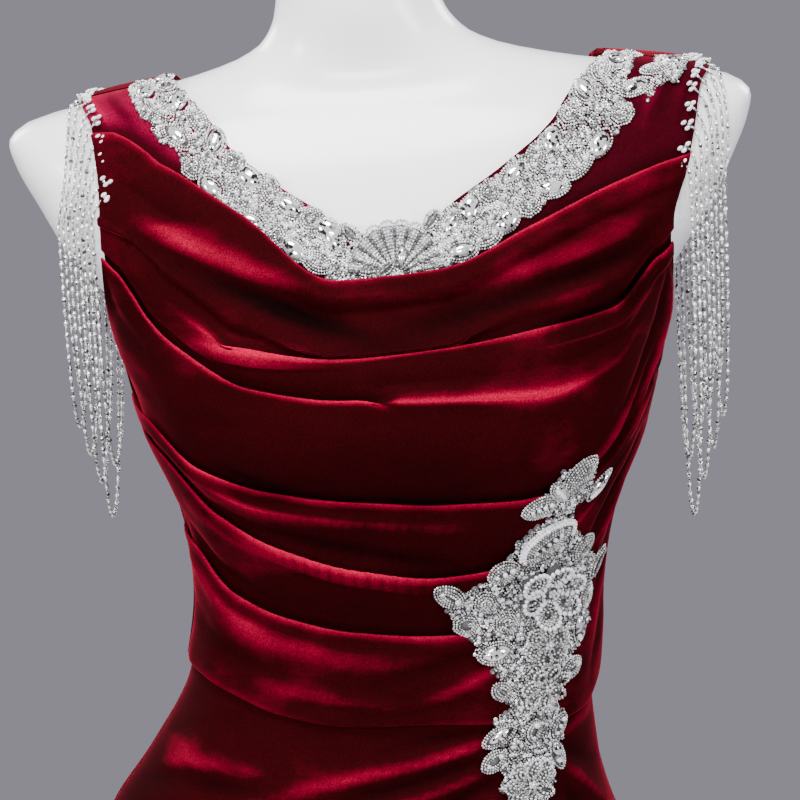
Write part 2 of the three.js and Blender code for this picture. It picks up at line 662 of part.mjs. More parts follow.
// A domed blossom that rises from the ground.
function blossom({ angle, z, radius, petals, thick }) {
  const count = petals * (radius > 20 ? 4 : 3);
  const half = body.half(z);
  const ring = (share, lift) =>
    Array.from({ length: count }, (_, k) => {
      const turn = (k / count) * 2 * Math.PI;
      const petal = 0.82 + 0.18 * Math.cos(turn * petals);
      const reach = share * radius * (share > 0.3 ? petal : 1);
      const x = Math.sin(radians(angle)) * half + reach * Math.cos(turn) * Math.cos(radians(angle));
      const height = z + reach * Math.sin(turn);
      const at = THREE.MathUtils.radToDeg(Math.asin(x / half));
      return lean(onBody(at, height, -1, jewelSeat(at, height) + lift));
    });
  const low = GROUND_THICK / 2;
  return loft([ring(0.12, low), ring(1, low), ring(1, GROUND_THICK + 0.4), ring(0.7, thick * 0.8), ring(0.15, thick * 1.2)]);
}
function joined(geometries) {
  return fromSolid(geometries.map(toSolid).reduce((sum, solid) => sum.add(solid)));
}

// ---- Chains at the armholes ----
// A narrow strip follows the armhole from the front, over the shoulder, to the back, and the
// chains hang from it in loops, each with one end in front and one behind.
function chainFringe(sign) {
  const edge = 89.4 * sign;
  const foot = archFoot(edge);
  const top = foot + ARCH_LENGTH;
  const stations = [
    ...spread(7, 1366, top).map((height) => ({ height, side: -1 })),
    ...spread(7, top, 1366).slice(1).map((height) => ({ height, side: 1 })),
  ];
  const strip = loft(
    stations.map(({ height, side }) =>
      [[0.7, 3.2], [6.5, 3.2], [6.5, 5.2], [0.7, 5.2]].map(([beyond, out]) =>
        lean(onBody(edge, height, side, out, beyond)),
      ),
    ),
  );
  const link = new THREE.Shape(
    [90, 210, 330].map((turn) =>
      new THREE.Vector2(Math.cos(radians(turn)), Math.sin(radians(turn))).multiplyScalar(CHAIN_RADIUS),
    ),
  );
  const strands = CHAINS.map(({ root, beyond, drop }) => {
    const start = top - root;
    const leg = (side) =>
      [0, 0.34, 0.67, 1].map((t) => {
        const out = t === 0 ? 5.4 : 6.9;
        return onBody(edge, mix(start, CAP_FOOT, t), side, out, mix(3.6, beyond, Math.sqrt(t)));
      });
    const front = leg(-1);
    const back = leg(1).reverse();
    const loop = spread(11, 0, 1).slice(1, -1).map((t) => {
      const fall = Math.pow(Math.sin(Math.PI * t), 0.62);
      const point = front[3].clone().lerp(back[0], (1 - Math.cos(Math.PI * t)) / 2);
      point.z -= drop * fall;
      return point;
    });
    const path = new THREE.CatmullRomCurve3([...front, ...loop, ...back].map(lean), false, "centripetal");
    return new THREE.ExtrudeGeometry(link, { steps: 13, extrudePath: path });
  });
  return joined([strip, ...strands]);
}

// ---- Zip at the centre back ----
const TAPE_HALF = 9;
const COIL_HALF = 2.6;
function zipStrip() {
  const profile = [[-TAPE_HALF, 1], [TAPE_HALF, 1], [TAPE_HALF, 1.9], [COIL_HALF, 1.9], [COIL_HALF, 4.8],
    [-COIL_HALF, 4.8], [-COIL_HALF, 1.9], [-TAPE_HALF, 1.9]];
  return loft(
    spread(16, ZIP_BOTTOM_Z + 24, ZIP_TOP_Z).map((z) => {
      const onSpine = onBody(0, z, 1, 0);
      const normal = bodyNormal(onSpine);
      return profile.map(([x, out]) => lean(onSpine.clone().addScaledVector(normal, out).setX(x)));
    }),
  );
}
const SLIDER = { z: 1362, foot: 8, half: 4.5, length: 14, thick: 2.8, pinAbove: 3.6, pinUp: 4 };
const PIN_RADIUS = 0.8;
const PULL = { half: 2.6, length: 24, thick: 1.4, knuckle: 2.1, clearance: 0.35 };
// The slider's frame: X across, Y away from the back, Z up along the zip.
function sliderFrame() {
  const spine = onBody(0, SLIDER.z, 1, 0);
  const normal = bodyNormal(spine);
  const up = new THREE.Vector3(1, 0, 0).cross(normal).normalize();
  const frame = new THREE.Group();
  frame.position.copy(lean(spine.clone().addScaledVector(normal, SLIDER.foot)));
  frame.rotation.setFromRotationMatrix(new THREE.Matrix4().makeBasis(new THREE.Vector3(1, 0, 0), normal, up));
  return frame;
}
function zipSlider() {
  const { half, length, thick, pinAbove, pinUp } = SLIDER;
  const plate = new THREE.BoxGeometry(2 * half, thick, length).translate(0, thick / 2, 0);
  const earThick = half - PULL.half - SEAM_GAP;
  const ear = (sign) =>
    new THREE.BoxGeometry(earThick, pinAbove + 1.4, 3.4).translate(
      sign * (half - earThick / 2), thick + (pinAbove + 1.4) / 2 - 0.6, pinUp);
  const pin = new THREE.CylinderGeometry(PIN_RADIUS, PIN_RADIUS, 2 * half - 0.4, 12)
    .rotateZ(Math.PI / 2)
    .translate(0, thick + pinAbove - 0.6, pinUp);
  return joined([plate, ear(1), ear(-1), pin]);
}
// The pull hangs from the pin and lies over the slider; its own origin is the pin's axis.
function zipPull() {
  const { half, length, thick, knuckle, clearance } = PULL;
  const tab = new THREE.BoxGeometry(2 * half, thick, length).translate(0, 0, -length / 2);
  const eye = new THREE.CylinderGeometry(knuckle, knuckle, 2 * half, 20).rotateZ(Math.PI / 2);
  const bore = new THREE.CylinderGeometry(PIN_RADIUS + clearance, PIN_RADIUS + clearance, 4 * half, 16);
  const grip = new THREE.CylinderGeometry(1.4, 1.4, 4 * thick, 14).translate(0, 0, -length + 4);
  return fromSolid(
    toSolid(tab).add(toSolid(eye)).subtract(toSolid(bore.rotateZ(Math.PI / 2))).subtract(toSolid(grip)),
  );
}

add("form_torso", formTorso(), materials.form);
add("bodice_front", drapedFront(), materials.velvet);
add("neck_yoke", yoke(), materials.yokeVelvet);
add("bodice_back_left", back(1), materials.velvet);
add("bodice_back_right", back(-1), materials.velvet);
add("skirt_front", skirtPanel((share) => mix(-89.6, 89.6, share), 27, -1, skirtTop), materials.velvet);
for (const [name, sign] of [["skirt_back_left", 1], ["skirt_back_right", -1]]) {
  const seam = (z) => THREE.MathUtils.radToDeg(Math.asin(backGap(z) / skirt.half(z)));
  const angleAt = (share, z) => sign * mix(seam(z), 89.6, share);
  add(name, skirtPanel(angleAt, 13, 1, backSkirtTop), materials.velvet);
}
const poleTop = FORM_BOTTOM_Z - SEAM_GAP;
add("stand_pole", turned([[0, BASE_THICK + SEAM_GAP], [26, BASE_THICK + SEAM_GAP], [26, 20], [POLE_RADIUS, 34],
  [POLE_RADIUS, poleTop - 8], [48, poleTop - 8], [48, poleTop], [0, poleTop]], 20), materials.steel);
add("stand_base", turned([[0, 0], [BASE_RADIUS - 1, 0], [BASE_RADIUS, 1], [BASE_RADIUS, BASE_THICK - 3],
  [BASE_RADIUS - 3, BASE_THICK], [0, BASE_THICK]], 32), materials.steel);

add("neck_applique_left", neckBand(1), materials.jewel);
add("neck_applique_right", neckBand(-1), materials.jewel);
add("neck_applique_centre", neckFan(), materials.jewel);
add("hip_applique_flower", joined([ground(MAIN_GROUND, 10), blossom(FLOWER)]), materials.jewel);
add("hip_applique_spray", ground(SPRAY_GROUND, 7), materials.jewel);
add("hip_applique_trail", joined([ground(TRAIL_GROUND, 6), ...TRAIL_FLOWERS.map(blossom)]), materials.jewel);
add("fringe_left", chainFringe(1), materials.chain);
add("fringe_right", chainFringe(-1), materials.chain);
add("zip_strip", zipStrip(), materials.zip);
const slider = sliderFrame();
dress.add(slider);
const sliderBody = add("zip_slider", zipSlider(), materials.steel);
const pull = add("zip_pull", zipPull(), materials.steel);
pull.position.set(0, SLIDER.thick + SLIDER.pinAbove - 0.6, SLIDER.pinUp);
slider.add(sliderBody, pull);

export default dress;
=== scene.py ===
import math

import bmesh
import bpy
import numpy as np
from mathutils import Matrix, Vector
from mathutils.bvhtree import BVHTree


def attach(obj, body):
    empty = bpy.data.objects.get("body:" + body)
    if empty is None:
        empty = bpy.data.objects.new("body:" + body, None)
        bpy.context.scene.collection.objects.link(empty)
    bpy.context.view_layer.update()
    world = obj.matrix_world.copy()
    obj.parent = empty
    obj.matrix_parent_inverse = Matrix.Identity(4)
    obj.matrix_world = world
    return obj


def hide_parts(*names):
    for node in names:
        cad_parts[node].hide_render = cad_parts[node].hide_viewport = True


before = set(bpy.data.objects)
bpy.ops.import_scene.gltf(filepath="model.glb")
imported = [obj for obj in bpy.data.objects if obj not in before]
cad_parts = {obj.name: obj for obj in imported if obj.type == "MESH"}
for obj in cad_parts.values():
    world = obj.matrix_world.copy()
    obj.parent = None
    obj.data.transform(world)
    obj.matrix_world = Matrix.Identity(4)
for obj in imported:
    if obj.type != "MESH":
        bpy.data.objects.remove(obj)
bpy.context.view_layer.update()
print("frame loaded:", len(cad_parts), "nodes")

mm = 0.001  # lengths below are in millimetres and become metres in the meshes
dressBody = "dress"


# the body under the dress: height, half width, depth to the front and back, roundness
bodyRows = [
    (838, 140, 88, 96, 2.3),
    (870, 158, 96, 112, 2.3),
    (910, 166, 99, 122, 2.3),
    (960, 160, 97, 116, 2.3),
    (1010, 142, 90, 98, 2.25),
    (1050, 123, 83, 82, 2.2),
    (1095, 110, 78, 70, 2.2),
    (1135, 109, 80, 68, 2.2),
    (1165, 112, 86, 72, 2.2),
    (1210, 124, 99, 80, 2.25),
    (1245, 138, 110, 86, 2.3),
    (1280, 147, 109, 90, 2.4),
    (1312, 154, 100, 93, 2.5),
    (1330, 164, 93, 94, 2.7),
    (1348, 178, 86, 93, 2.9),
    (1375, 192, 74, 90, 3.0),
    (1398, 203, 62, 84, 3.0),
    (1410, 206, 54, 78, 2.9),
    (1418, 200, 48, 72, 2.7),
    (1424, 182, 43, 66, 2.5),
    (1429, 155, 40, 62, 2.3),
    (1434, 124, 38, 58, 2.2),
    (1440, 96, 37, 55, 2.1),
    (1447, 72, 37.5, 52, 2),
    (1456, 56, 39, 49, 2),
    (1470, 47, 41, 47, 2),
    (1490, 43, 41.5, 45, 2),
    (1520, 42, 41, 44, 2),
]
skirtRows = [
    (20, 338, 290, 318, 2),
    (150, 307, 258, 284, 2),
    (300, 272, 222, 246, 2.05),
    (480, 232, 180, 204, 2.1),
    (650, 203, 146, 170, 2.2),
    (800, 182, 117, 142, 2.25),
    (910, 172, 104, 127, 2.3),
    (960, 166, 102, 121, 2.3),
]
stance = {
    "z": [0, 700, 840, 910, 1016, 1040, 1075, 1103, 1134, 1250, 1312, 1411, 1475, 1520],
    "side": [0, -10, -14, -15, -11.7, -7.7, 0, 5, 7.5, 5.5, 3, -3, -15, -20],
    "slope": 0.07,  # one shoulder stands higher
}
# the armhole's distance from the centre, and how far the cloth has slipped to the wearer's left
armholeEdge = {
    "z": [1312, 1350, 1371, 1391, 1412, 1432],
    "half": [151, 152, 156, 160, 165, 174],
    "slip": [0, 0.5, 4, 7.6, 9.8, 12],
}
shoulder = {
    "arch": 40,
    "archLength": 63,
    "strapInner": 115,
    "strapFoot": 88,
    "backFoot": 109,
    "armpit": 1296,
    "level": 1400,
}
panelEnd = {"bodice": 89.4, "skirt": 89.6}  # degrees round the body at which the front and back panels end
neckline = {
    "x": [0, 20, 39, 58, 78, 92],
    "z": [1352, 1356, 1369, 1381, 1396, 1407],
    "backX": [0, 60, 92],
    "backZ": [1384, 1391, 1399],
}


# a smooth curve through points that never overshoots them
def curveThrough(xs, ys):
    xs, ys = np.array(xs, float), np.array(ys, float)
    step = np.diff(xs)
    rise = np.diff(ys) / step
    slope = np.zeros(len(xs))
    turning = rise[:-1] * rise[1:] <= 0
    total = np.where(turning, 1, rise[:-1] + rise[1:])
    slope[1:-1] = np.where(turning, 0, 2 * rise[:-1] * rise[1:] / total)

    def at(x):
        x = np.clip(x, xs[0], xs[-1])
        i = np.clip(np.searchsorted(xs, x, side="right") - 1, 0, len(xs) - 2)
        t = (x - xs[i]) / step[i]
        ease = t * (1 - t) * step[i]
        return ys[i] + (ys[i + 1] - ys[i]) * t * t * (3 - 2 * t) + ease * ((1 - t) * slope[i] - t * slope[i + 1])

    return at


def smooth(x, low, high):
    t = np.clip((x - low) / (high - low), 0, 1)
    return t * t * (3 - 2 * t)


def mix(a, b, t):
    return a + (b - a) * t


def unit(vectors):
    return vectors / np.linalg.norm(vectors, axis=-1, keepdims=True)


def sectionCurves(rows):
    columns = list(zip(*rows))
    return [curveThrough(columns[0], column) for column in columns[1:]]


bodyHalf, bodyFront, bodyBack, bodyPower = sectionCurves(bodyRows)
skirtHalf, skirtFront, skirtBack, skirtPower = sectionCurves(skirtRows)
armholeHalf = curveThrough(armholeEdge["z"], armholeEdge["half"])
armholeSlip = curveThrough(armholeEdge["z"], armholeEdge["slip"])
stanceSide = curveThrough(stance["z"], stance["side"])
necklineZ = curveThrough(neckline["x"], neckline["z"])
backNecklineZ = curveThrough(neckline["backX"], neckline["backZ"])


def lean(points):
    x, z = points[..., 0], points[..., 2]
    raised = stance["slope"] * x * smooth(z, 1150, 1400)
    return np.stack([x + stanceSide(np.clip(z, 0, 1520)), points[..., 1], z + raised], -1)


def bodyField(points):
    x, y, z = points[..., 0], points[..., 1], points[..., 2]
    depth = np.where(y < 0, bodyFront(z), bodyBack(z))
    power = bodyPower(z)
    return (np.abs(x) / bodyHalf(z)) ** power + (np.abs(y) / depth) ** power - 1


def bodyNormal(points):
    reach = 0.5
    slope = [bodyField(points + reach * axis) - bodyField(points - reach * axis) for axis in np.eye(3)]
    return unit(np.stack(slope, -1))


def crest(x):
    low, high = np.full(np.shape(x), 1411.0), np.full(np.shape(x), 1500.0)
    for _ in range(30):
        z = (low + high) / 2
        inside = bodyHalf(z) > np.abs(x)
        low, high = np.where(inside, z, low), np.where(inside, high, z)
    return low


def castOut(x, z, forward, upward):
    near, far = np.zeros(np.shape(x)), np.full(np.shape(x), 160.0)
    for _ in range(34):
        r = (near + far) / 2
        inside = bodyField(np.stack([x, forward * r, z + upward * r], -1)) < 0
        near, far = np.where(inside, r, near), np.where(inside, far, r)
    return np.stack([x, forward * near, z + upward * near], -1)


def acrossCloth(across, reach, z):
    return across * reach + np.abs(across) * armholeSlip(z)


# distance from the centre, measured at the level of the straps
def distanceOf(angle):
    return np.abs(np.sin(np.radians(angle))) * armholeHalf(shoulder["level"])


def angleOf(x):
    return np.degrees(np.arcsin(np.clip(x / armholeHalf(shoulder["level"]), -1, 1)))


def archFoot(angle):
    level = shoulder["level"]
    x = np.abs(acrossCloth(np.sin(np.radians(angle)), armholeHalf(level), level))
    return np.where(x < 40, 1600, crest(x) - shoulder["arch"])


# a point on the body: side is -1 in front and 1 behind, and height runs on over the shoulder
def onBody(angle, height, side, out, beyond=0):
    angle, height, out = np.broadcast_arrays(*(np.asarray(v, float) for v in (angle, height, out)))
    across = np.sin(np.radians(angle))
    aside = np.sign(across) * beyond
    foot = archFoot(angle)
    half, power = bodyHalf(height), bodyPower(height)
    reach = np.where(height > shoulder["armpit"], np.minimum(armholeHalf(height), half), half)
    x = acrossCloth(across, reach, height) + aside
    depth = bodyFront(height) if side < 0 else bodyBack(height)
    y = side * depth * np.maximum(0, 1 - (np.abs(x) / half) ** power) ** (1 / power)
    below = np.stack([x, y, height], -1)
    turn = np.clip((height - foot) / shoulder["archLength"], 0, 1) * math.pi / 2
    z = foot + shoulder["arch"] * np.sin(turn)
    above = castOut(acrossCloth(across, armholeHalf(z), z) + aside, foot, side * np.cos(turn), np.sin(turn))
    points = np.where((height <= foot)[..., None], below, above)
    return points + bodyNormal(points) * out[..., None]


def heightAt(angle, z, side):
    foot = archFoot(angle)
    low, high = foot + 0.0, foot + shoulder["archLength"]
    for _ in range(24):
        middle = (low + high) / 2
        under = onBody(angle, middle, side, 0)[..., 2] < z
        low, high = np.where(under, middle, low), np.where(under, high, middle)
    return np.where(z <= foot, z, low)


def topHeight(angle, side):
    x = distanceOf(angle)
    shoulderLine = archFoot(angle) + shoulder["archLength"] - 0.3
    level = heightAt(angle, necklineZ(x) if side < 0 else backNecklineZ(x), side)
    foot = shoulder["strapFoot"] if side < 0 else shoulder["backFoot"]
    climb = np.clip((x - foot) / (shoulder["strapInner"] - foot), 0, 1)
    return mix(level, shoulderLine, climb**1.3)


def newMaterial(name):
    material = bpy.data.materials.new(name)
    material.use_nodes = True
    tree = material.node_tree
    shader = next(node for node in tree.nodes if node.type == "BSDF_PRINCIPLED")
    return material, tree, shader


# gives a node's sockets their values, or links them where the value is another node's output
def feed(tree, node, values):
    for key, value in values.items():
        if isinstance(value, bpy.types.NodeSocket):
            tree.links.new(value, node.inputs[key])
        else:
            node.inputs[key].default_value = value


def addNode(tree, kind, values=None, **settings):
    node = tree.nodes.new(kind)
    for key, value in settings.items():
        setattr(node, key, value)
    feed(tree, node, values or {})
    return node


def newGroup(name, inputs, outputs):
    group = bpy.data.node_groups.new(name, "ShaderNodeTree")
    for label, kind, value in inputs:
        socket = group.interface.new_socket(label, in_out="INPUT", socket_type=kind)
        socket.default_value = value
    for label, kind in outputs:
        group.interface.new_socket(label, in_out="OUTPUT", socket_type=kind)
    start = group.nodes.new("NodeGroupInput")
    end = group.nodes.new("NodeGroupOutput")
    return group, start, end


def placeGroup(tree, group, values):
    node = tree.nodes.new("ShaderNodeGroup")
    node.node_tree = group
    feed(tree, node, values)
    return node


# velvet colour: painted highlight on ridges and rims and painted shade in hollows, read from a painted-shading
# attribute, with brushed patches
def makeVelvetPaintedShading():
    group, start, end = newGroup(
        "velvetPaintedShading",
        [
            ("Painted Shade Color", "NodeSocketColor", (0.01, 0.0002, 0.001, 1)),
            ("Pile Color", "NodeSocketColor", (0.06, 0.001, 0.006, 1)),
            ("Painted Highlight Color", "NodeSocketColor", (0.4, 0.01, 0.06, 1)),
            ("Patch Scale", "NodeSocketFloat", 22.0),
            ("Streak Scale", "NodeSocketFloat", 48.0),
            ("Fibre Scale", "NodeSocketFloat", 1300.0),
            ("Bump Strength", "NodeSocketFloat", 0.35),
        ],
        [("Color", "NodeSocketColor"), ("Roughness", "NodeSocketFloat"), ("Normal", "NodeSocketVector")],
    )
    place = addNode(group, "ShaderNodeTexCoord").outputs["Object"]
    stretch = addNode(
        group, "ShaderNodeMapping", {"Vector": place, "Scale": (0.35, 0.35, 1.0), "Rotation": (0, 0.25, 0)}
    ).outputs["Vector"]
    patch, streak, fibre = (
        addNode(
            group,
            "ShaderNodeTexNoise",
            {
                "Vector": vector,
                "Scale": start.outputs[scale],
                "Detail": detail,
                "Roughness": roughness,
                "Distortion": distortion,
            },
        ).outputs["Fac"]
        for vector, scale, detail, roughness, distortion in (
            (place, "Patch Scale", 3.0, 0.55, 0.0),
            (stretch, "Streak Scale", 4.0, 0.6, 0.6),
            (place, "Fibre Scale", 1.0, 0.5, 0.0),
        )
    )
    both = addNode(group, "ShaderNodeMix", {"Factor": 0.5, 2: patch, 3: streak}, data_type="FLOAT")
    patchesAndFluteSheen = addNode(
        group,
        "ShaderNodeMapRange",
        {"Value": both.outputs[0], "From Min": 0.36, "From Max": 0.66, "To Min": -0.22, "To Max": 0.23},
    ).outputs["Result"]
    # the painted-shading attribute: above 0 mixes towards the painted highlight colour, below 0 towards the painted
    # shade colour
    paintedLevel = addNode(group, "ShaderNodeAttribute", attribute_name="paintedShading").outputs["Fac"]
    total = addNode(group, "ShaderNodeMath", {0: paintedLevel, 1: patchesAndFluteSheen}, operation="ADD").outputs[0]
    low = addNode(group, "ShaderNodeMapRange", {"Value": total, "From Min": -1.0, "From Max": 0.0})
    high = addNode(group, "ShaderNodeMapRange", {"Value": total, "From Min": 0.0, "From Max": 1.0})
    tone = addNode(
        group,
        "ShaderNodeMix",
        {
            "Factor": low.outputs["Result"],
            "A": start.outputs["Painted Shade Color"],
            "B": start.outputs["Pile Color"],
        },
        data_type="RGBA",
    )
    sharp = addNode(group, "ShaderNodeMath", {0: high.outputs["Result"], 1: 1.35}, operation="POWER")
    lit = addNode(
        group,
        "ShaderNodeMix",
        {"Factor": sharp.outputs[0], "A": tone.outputs["Result"], "B": start.outputs["Painted Highlight Color"]},
        data_type="RGBA",
    )
    speckle = addNode(
        group,
        "ShaderNodeMapRange",
        {"Value": fibre, "From Min": 0.3, "From Max": 0.7, "To Min": 0.62, "To Max": 1.38},
    )
    tipped = addNode(
        group,
        "ShaderNodeVectorMath",
        {0: lit.outputs["Result"], "Scale": speckle.outputs["Result"]},
        operation="SCALE",
    )
    rough = addNode(group, "ShaderNodeMapRange", {"Value": patchesAndFluteSheen, "To Min": 0.82, "To Max": 0.62})
    bump = addNode(
        group,
        "ShaderNodeBump",
        {"Strength": start.outputs["Bump Strength"], "Distance": 0.0004, "Height": fibre},
    )
    feed(
        group,
        end,
        {"Color": tipped.outputs[0], "Roughness": rough.outputs["Result"], "Normal": bump.outputs["Normal"]},
    )
    return group


velvetPaintedShading = makeVelvetPaintedShading()
# each velvet's own pile colour, with a darker painted shade colour for hollows and a brighter painted highlight colour
# for rims and ridges
velvetTones = {
    "velvet": {"paintedShade": (0.003, 0.0001, 0.0002), "pile": (0.021, 0.0003, 0.0012), "paintedHighlight": (0.36, 0.001, 0.03)},
    "yokeVelvet": {"paintedShade": (0.012, 0.0001, 0.001), "pile": (0.03, 0.0002, 0.003), "paintedHighlight": (0.26, 0.002, 0.034)},
}


def makeVelvet(name):
    material, tree, shader = newMaterial(name)
    tones = velvetTones[name]
    paintedShading = placeGroup(
        tree,
        velvetPaintedShading,
        {
            "Painted Shade Color": (*tones["paintedShade"], 1),
            "Pile Color": (*tones["pile"], 1),
            "Painted Highlight Color": (*tones["paintedHighlight"], 1),
        },
    )
    feed(tree, shader, {key: paintedShading.outputs[key.split()[-1]] for key in ("Base Color", "Roughness", "Normal")})
    feed(
        tree,
        shader,
        {
            "Specular IOR Level": 0.02,
            "Sheen Weight": 0.35,
            "Sheen Roughness": 0.25,
            "Sheen Tint": (1.0, 0.03, 0.1, 1),
        },
    )
    return material


velvet = makeVelvet("velvet")
yokeVelvet = makeVelvet("yokeVelvet")


def makeGloss(name, color, roughness, metallic=0.0, coat=0.0, mottle=0.04, scale=60.0):
    material, tree, shader = newMaterial(name)
    place = addNode(tree, "ShaderNodeTexCoord").outputs["Object"]
    noise = addNode(tree, "ShaderNodeTexNoise", {"Vector": place, "Scale": scale, "Detail": 3.0}).outputs["Fac"]
    spread = {"Value": noise, "To Min": roughness - mottle, "To Max": roughness + mottle}
    feed(
        tree,
        shader,
        {
            "Roughness": addNode(tree, "ShaderNodeMapRange", spread).outputs["Result"],
            "Base Color": (*color, 1),
            "Metallic": metallic,
            "Coat Weight": coat,
            "Coat Roughness": 0.12,
        },
    )
    return material


glossWhite = makeGloss("glossWhite", (0.94, 0.94, 0.96), 0.34, coat=0.35, scale=25.0)
satinSteel = makeGloss("satinSteel", (0.62, 0.62, 0.64), 0.28, metallic=1.0, mottle=0.07, scale=180.0)
print("materials made")


def newObject(name, mesh, material, smoothShade=True):
    mesh.materials.clear()
    mesh.materials.append(material)
    if smoothShade:
        mesh.shade_smooth()
    piece = bpy.data.objects.new(name, mesh)
    bpy.context.scene.collection.objects.link(piece)
    return piece


# a sheet starts as a flat grid whose points are then laid on the body
def layGrid(name, columns, rows, place, material):
    bm = bmesh.new()
    bmesh.ops.create_grid(bm, x_segments=columns - 1, y_segments=rows - 1, size=0.5, calc_uvs=True)
    mesh = bpy.data.meshes.new(name)
    bm.to_mesh(mesh)
    bm.free()
    flat = np.empty(len(mesh.vertices) * 3, np.float32)
    mesh.vertices.foreach_get("co", flat)
    flat = flat.reshape(-1, 3).astype(float)
    low, high = flat.min(axis=0), flat.max(axis=0)
    u = (flat[:, 0] - low[0]) / (high[0] - low[0])
    v = (flat[:, 1] - low[1]) / (high[1] - low[1])
    points = place(u, v)
    # place may also give painted shading per point, painted highlight above 0 and painted shade below 0, kept as a mesh
    # attribute for the velvet
    paintedShading = 0
    if isinstance(points, tuple):
        points, paintedShading = points
    paintedLevel = mesh.attributes.new("paintedShading", "FLOAT", "POINT")
    paintedLevel.data.foreach_set("value", np.broadcast_to(paintedShading, len(points)).astype(np.float32))
    mesh.vertices.foreach_set("co", (lean(points) * mm).astype(np.float32).ravel())
    mesh.update()
    facing = np.empty(len(mesh.vertices) * 3, np.float32)
    mesh.vertices.foreach_get("normal", facing)
    if (facing.reshape(-1, 3) * bodyNormal(points)).sum() < 0:
        mesh.flip_normals()
    return newObject(name, mesh, material)


def giveThickness(piece, thickness):
    solid = piece.modifiers.new("wall", "SOLIDIFY")
    solid.thickness = thickness * mm
    solid.offset = -1
    solid.use_even_offset = False


def finishPiece(piece, slot, *nodes):
    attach(piece, dressBody)
    if nodes:
        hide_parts(*nodes)


# soft creases drawn over a panel: points are (angle, height), width and depth in mm
def creaseDepth(creases, angle, z):
    total = np.zeros(np.shape(angle))
    perDegree = 1.9
    for (a0, z0), (a1, z1), (a2, z2), width, depth in creases:
        t = np.linspace(0, 1, 26)
        a = (1 - t) ** 2 * a0 + 2 * t * (1 - t) * a1 + t * t * a2
        h = (1 - t) ** 2 * z0 + 2 * t * (1 - t) * z1 + t * t * z2
        near = (np.abs(angle - (a0 + a2) / 2) < abs(a2 - a0) / 2 + 25) & (np.abs(z - (z0 + z2) / 2) < 90)
        if not near.any():
            continue
        gap = ((angle[near, None] - a) * perDegree) ** 2 + (z[near, None] - h) ** 2
        best = gap.argmin(axis=1)
        fade = np.sin(np.pi * np.clip(t[best] * 0.92 + 0.04, 0, 1)) ** 0.6
        shape = np.exp(-gap[np.arange(len(best)), best] / width**2)
        total[near] += depth * fade * shape
    return total


# heights of each fold's rim at these angles round the front, from the wearer's right to left
drape = {
    "angles": [-90, -70, -50, -30, -10, 10, 30, 50, 70, 90],
    "columns": 196,
    "restOut": 6.4,
    "sideOut": 5,
    "thickness": 1.3,
    "layer": 1.7,  # distance between the two layers of a fold's edge
    "pocket": 3.3,
    "creaseShading": 0.23,
}
